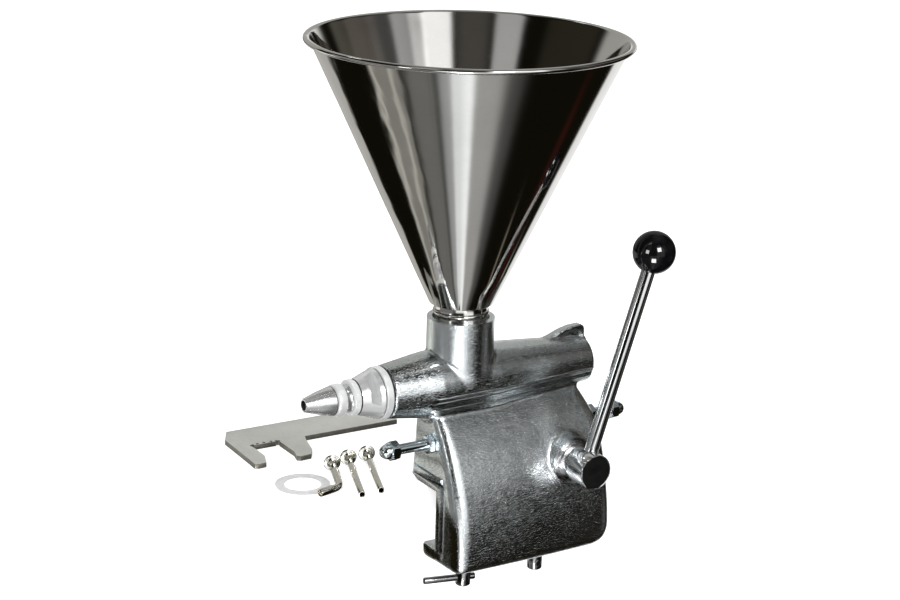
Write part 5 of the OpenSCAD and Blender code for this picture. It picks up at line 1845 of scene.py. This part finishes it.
@dataclass
class Studio:
    """Camera, lamps, bench, floor and the surroundings that metal reflects.

    The camera, the dome and the lamps are in metres, the bench, floor and card in millimetres.
    """

    position: Point = (-1.043405, -1.649050, 0.773997)
    azimuth: float = -32.01
    pitch: float = 17.05
    roll: float = 1.78
    lens: float = 87.377
    sensor: float = 36.0
    sight: float = 50.0
    world_levels: tuple[float, float] = (0.78, 1.15)
    bench_edge: float = -8.0
    bench_thick: float = 26.2
    bench_glow: float = 0.56
    floor_below: float = 600.0
    floor_wide: float = 6000.0
    base_level: Point = (0.0065, 0.0055, 0.0030)
    card_x: float = -60.0
    card_y: tuple[float, float] = (-75.0, 60.0)
    card_z: tuple[float, float] = (-140.0, -25.0)
    card_level: Colour = (0.011, 0.009, 0.004)
    dome_rows: int = 120
    dome_radius: float = 4.0
    lit_at: Point = (0.0, 0.0, 0.1)
    knob_at: Point = (0.1621, -0.0787, 0.2225)
    boxes: tuple[tuple[float, float, float, float], ...] = (
        (-98, 28, 0.36, 22.0), (-127, -30, 0.38, 26.0), (-164, 13, 0.30, 9.0))
    glows: tuple[Glow, ...] = (
        # below the horizon: what the outside of the hopper shows
        Glow(84, 32, -82, -6, 0.52, (1.0, 0.98, 0.93), 2),
        Glow(36, 32, -50, -4, 1.0, WHITE, 3),
        Glow(10, 6, -46, -35, 0.40, (1.0, 0.96, 0.86), 1.5),
        Glow(-27.5, 3, -62, -47.5, 0.22, (1.0, 0.92, 0.7), 1.2),
        Glow(155.5, 30, -82, -22, 0.27, (1.0, 0.98, 0.90), 3),
        Glow(144, 4, -82, -22, 0.30, (1.0, 0.97, 0.88), 2),
        Glow(161, 5, -82, -22, 0.26, (1.0, 0.97, 0.88), 2),
        Glow(-172, 26, -86, -22, 0.18, (1.0, 1.0, 0.96), 6),
        Glow(-3, 8, -68, -32, 0.024, (1.0, 0.10, 0.12), 3),
        Glow(-146, 16, -88, -22, 0.42, (0.97, 0.99, 1.0), 7),
        Glow(-128, 24, -88, -22, 0.95, (0.94, 0.98, 1.0), 6),
        Glow(-106, 42, -88, -26, 0.44, (1.0, 1.0, 0.99), 13),
        Glow(-78, 24, -88, -34, 0.07, (1.0, 1.0, 0.99), 10),
        # near the horizon: neck, nozzle, hub, front face and rounded edges
        Glow(-121.5, 46, -26, -2, 1.2, WHITE, 4),
        Glow(-127, 13, -36, -23, 15.0, WHITE, 1.2),
        Glow(-90, 22, -24, -6, 0.32, (0.97, 0.99, 1.0), 6),
        Glow(172, 76, -26, 5, 0.20, WHITE, 5),
        Glow(168, 70, 5, 20, 0.38, WHITE, 5),
        Glow(-164, 8, 8, 18, 4.0, WHITE, 1.2),
        Glow(-28, 28, -26, -8, 0.08, (1.0, 0.92, 0.90), 6),
        Glow(45, 40, -2, 12, 0.45, WHITE, 5),
        Glow(118, 32, -22.6, -6, 1.1, (1.0, 1.0, 0.93), 1.5),
        # the soft box at the operator's right, and the room above
        Glow(-89, 40, -6, 34, 1.2, WHITE, 5),
        Glow(-92, 26, 30, 52, 1.3, WHITE, 4),
        Glow(-98, 12, 21, 36, 13.0, WHITE, 1.2),
        Glow(-74, 14, 24, 44, 0.8, WHITE, 4),
        Glow(-66, 22, 13, 28, 0.50, WHITE, 4),
        Glow(-59, 14, 30, 44, 0.40, WHITE, 4),
        Glow(-44, 26, 6, 40, 0.07, WHITE, 7),
        Glow(-24, 30, 14, 34, 0.12, (1.0, 0.88, 0.78), 6),
        Glow(-157, 24, 24, 60, 0.46, WHITE, 4),
        Glow(-125, 30, 20, 60, 0.07, (1.0, 0.95, 0.88), 8),
        Glow(145, 50, 20, 40, 0.02, (1.0, 0.95, 0.7), 6),
        Glow(-2, 20, 8, 26, 0.09, (1.0, 0.97, 0.80), 5),
        Glow(68, 88, 0, 58, 0.42, (1.0, 1.0, 0.95), 6),
        Glow(112, 6, 48, 53, 5.0, WHITE, 1.2),
        Glow(0, 120, 46, 82, 0.20, WHITE, 12),
        Glow(0, 400, 66, 95, 0.25, WHITE, 10),
    )

    def camera(self) -> None:
        """Puts the camera at the photo's viewing angle."""
        az, pitch, roll = (math.radians(v) for v in (self.azimuth, self.pitch, self.roll))
        back = Vector((math.sin(az) * math.cos(pitch), -math.cos(az) * math.cos(pitch), math.sin(pitch)))
        right = (-back).cross(Vector((0, 0, 1))).normalized()
        up = right.cross(-back)
        across, along = math.cos(roll), math.sin(roll)
        right, up = right * across + up * along, up * across - right * along
        data = bpy.data.cameras.new("camera")
        data.lens, data.sensor_width, data.sensor_fit = self.lens, self.sensor, "HORIZONTAL"
        data.clip_end = self.sight
        cam = link_object("camera", data)
        turn = Matrix((right, up, back)).transposed().to_4x4()
        cam.matrix_world = Matrix.Translation(self.position) @ turn
        bpy.context.scene.camera = cam

    def world(self) -> None:
        """A white world that lights the bench plainly, and the standard view."""
        n = Nodes(bpy.data.worlds.new("studio"), "OutputWorld")
        path, level = n.add("LightPath").outputs, n.add("Background", Color=(1, 1, 1, 1))
        seen = n.math("MAXIMUM", path["Is Camera Ray"], path["Is Glossy Ray"])
        seen = n.math("MAXIMUM", seen, path["Is Transmission Ray"])
        n.link(n.ramp(seen, 0.0, 1.0, *self.world_levels), level.inputs["Strength"])
        n.link(level.outputs[0], n.output.inputs["Surface"])
        bpy.context.scene.world = n.owner
        bpy.context.scene.view_settings.view_transform = "Standard"

    def pale_material(self) -> Material:
        """The bench's and floor's pale finish, white where nothing shades it.

        Returns:
            The material.
        """
        n = Nodes(bpy.data.materials.new("pale_bench"))
        shader = n.surface(Roughness=0.9, Specular_IOR_Level=0.1, Emission_Color=(1, 1, 1, 1))
        pale = n.mix(n.noise(n.place(), 3.0), (0.86, 0.86, 0.86), (0.88, 0.88, 0.88))
        n.link(pale, shader.inputs["Base Color"])
        seen = n.add("LightPath").outputs["Is Camera Ray"]
        n.link(n.math("MULTIPLY", seen, self.bench_glow), shader.inputs["Emission Strength"])
        return n.owner

    def bench(self) -> None:
        """The work top that the machine is clamped to, on a block, and the floor."""
        pale = self.pale_material()
        thick, under, wide = self.bench_thick, -self.floor_below, self.floor_wide
        for name, xs, ys, zs in (("bench_top", (-1600, 1600), (self.bench_edge, 1600), (-thick, 0)),
                                 ("bench_block", (-1500, 1500), (350, 1500), (under, -thick))):
            self.as_stage(block(name, xs, ys, zs), pale)
        corners = [(-wide, -wide, under), (wide, -wide, under), (wide, wide, under), (-wide, wide, under)]
        self.as_stage(add_mesh("floor", corners, [(0, 1, 2, 3)]), pale)

    @staticmethod
    def as_stage(obj: Object, material: Material) -> None:
        """Makes an object stage that metal doesn't reflect directly.

        Args:
            obj: the object.
            material: its finish.
        """
        obj.data.materials.append(material)
        obj.visible_glossy = False

    def surroundings(self) -> None:
        """A large dark dome with soft bright patches, seen only in reflections."""
        rows, cols, radius = self.dome_rows, 2 * self.dome_rows, self.dome_radius
        el = np.radians(np.linspace(-90, 90, rows + 1))
        az = np.radians(np.linspace(-180, 180, cols, endpoint=False))
        verts = [(radius * math.cos(e) * math.cos(a), radius * math.cos(e) * math.sin(a),
                  radius * math.sin(e)) for e in el for a in az]
        faces = [(low + c, low + (c + 1) % cols, low + cols + (c + 1) % cols, low + cols + c)
                 for low in range(0, rows * cols, cols) for c in range(cols)]
        mesh = mesh_data("surroundings", verts, faces)
        obj = link_object("surroundings", mesh)
        e = np.degrees(el)[:, None] + np.zeros((1, cols))
        a = np.degrees(az)[None, :] + np.zeros((rows + 1, 1))
        colour = np.zeros((rows + 1, cols, 3)) + np.array(self.base_level)
        for g in self.glows:
            da = np.abs((a - g.azimuth + 180) % 360 - 180)
            dh = np.abs(e - (g.low + g.high) / 2)
            across, upright = (1 / (1 + np.exp(np.clip((off - half) / g.soft * 4, -40, 40)))
                               for off, half in ((da, g.width / 2), (dh, (g.high - g.low) / 2)))
            colour += (across * upright * g.level)[..., None] * np.array(g.tint)
        layer = mesh.color_attributes.new("glow", "FLOAT_COLOR", "POINT")
        rgba = np.concatenate([colour, np.ones((rows + 1, cols, 1))], -1).reshape(-1)
        layer.data.foreach_set("color", rgba.astype(np.float32))
        n = Nodes(bpy.data.materials.new("surroundings"))
        n.link(n.add("Attribute", attribute_name="glow").outputs["Color"], n.emission().inputs["Color"])
        mesh.materials.append(n.owner)
        self.only_reflected(obj)

    @staticmethod
    def only_reflected(obj: Object) -> None:
        """Makes an object stage that is seen in reflections alone.

        Args:
            obj: the object.
        """
        for flag in ("visible_camera", "visible_diffuse", "visible_transmission", "visible_shadow",
                     "visible_volume_scatter"):
            setattr(obj, flag, False)

    def dark_card(self) -> None:
        """A small dark card low in front of the body, for the dark lower half of its front face."""
        x, (near, far), (low, top) = self.card_x, self.card_y, self.card_z
        corners = [(x, near, low), (x, far, low), (x, far, top), (x, near, top)]
        card = add_mesh("dark_card", corners, [(0, 1, 2, 3)])
        n = Nodes(bpy.data.materials.new("dark_card"))
        n.emission().inputs["Color"].default_value = (*self.card_level, 1.0)
        card.data.materials.append(n.owner)
        self.only_reflected(card)

    @staticmethod
    def soft_box(name: str, place: Vector, target: Vector, size: float, power: float) -> Object:
        """A square area lamp.

        Args:
            name: the lamp's name.
            place: where it hangs, in metres.
            target: where it points.
            size: its width in metres.
            power: its power in watts.

        Returns:
            The lamp.
        """
        data = bpy.data.lights.new(name, "AREA")
        data.shape, data.size, data.energy = "SQUARE", size, power
        lamp = link_object(name, data)
        lamp.location = place
        lamp.rotation_euler = (target - place).to_track_quat("-Z", "Y").to_euler()
        return lamp

    def knob_lamps(self) -> None:
        """Three square soft boxes whose light falls on the knob alone."""
        group = bpy.data.collections.new("knob_light")
        group.objects.link(bpy.data.objects["knob"])
        centre = Vector(self.knob_at)
        for i, (azimuth, height, size, power) in enumerate(self.boxes):
            a, e = math.radians(azimuth), math.radians(height)
            way = Vector((math.cos(e) * math.cos(a), math.cos(e) * math.sin(a), math.sin(e)))
            lamp = self.soft_box(f"knob_lamp_{i}", centre + way, centre, size, power)
            lamp.visible_camera = False
            lamp.light_linking.receiver_collection = group

    def lamps(self) -> None:
        """Soft lamps for what isn't metal."""
        for name, place, size, power in (("key_lamp", (-1.6, -1.6, 2.4), 1.4, 34.0),
                                         ("fill_lamp", (1.8, -1.4, 1.6), 1.6, 16.0),
                                         ("back_lamp", (0.2, 2.2, 2.2), 1.6, 16.0)):
            self.soft_box(name, Vector(place), Vector(self.lit_at), size, power).visible_glossy = False

    def build(self) -> None:
        """Makes the whole studio."""
        for make in (self.camera, self.world, self.bench, self.surroundings, self.dark_card, self.lamps):
            make()


def main() -> None:
    """Builds every sub-assembly in order."""
    logging.basicConfig(level=logging.INFO, format="%(name)s: %(message)s")
    FRAME.update(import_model())
    palette = Palette()
    studio = Studio()
    studio.build()
    Casting().build(palette)
    for assembly in (Hopper(), Nozzle(), Lever(), Stops(), Plates(), Clamps(), Accessories(), Works()):
        assembly.build(palette)
    studio.knob_lamps()


if __name__ == "__main__":
    main()
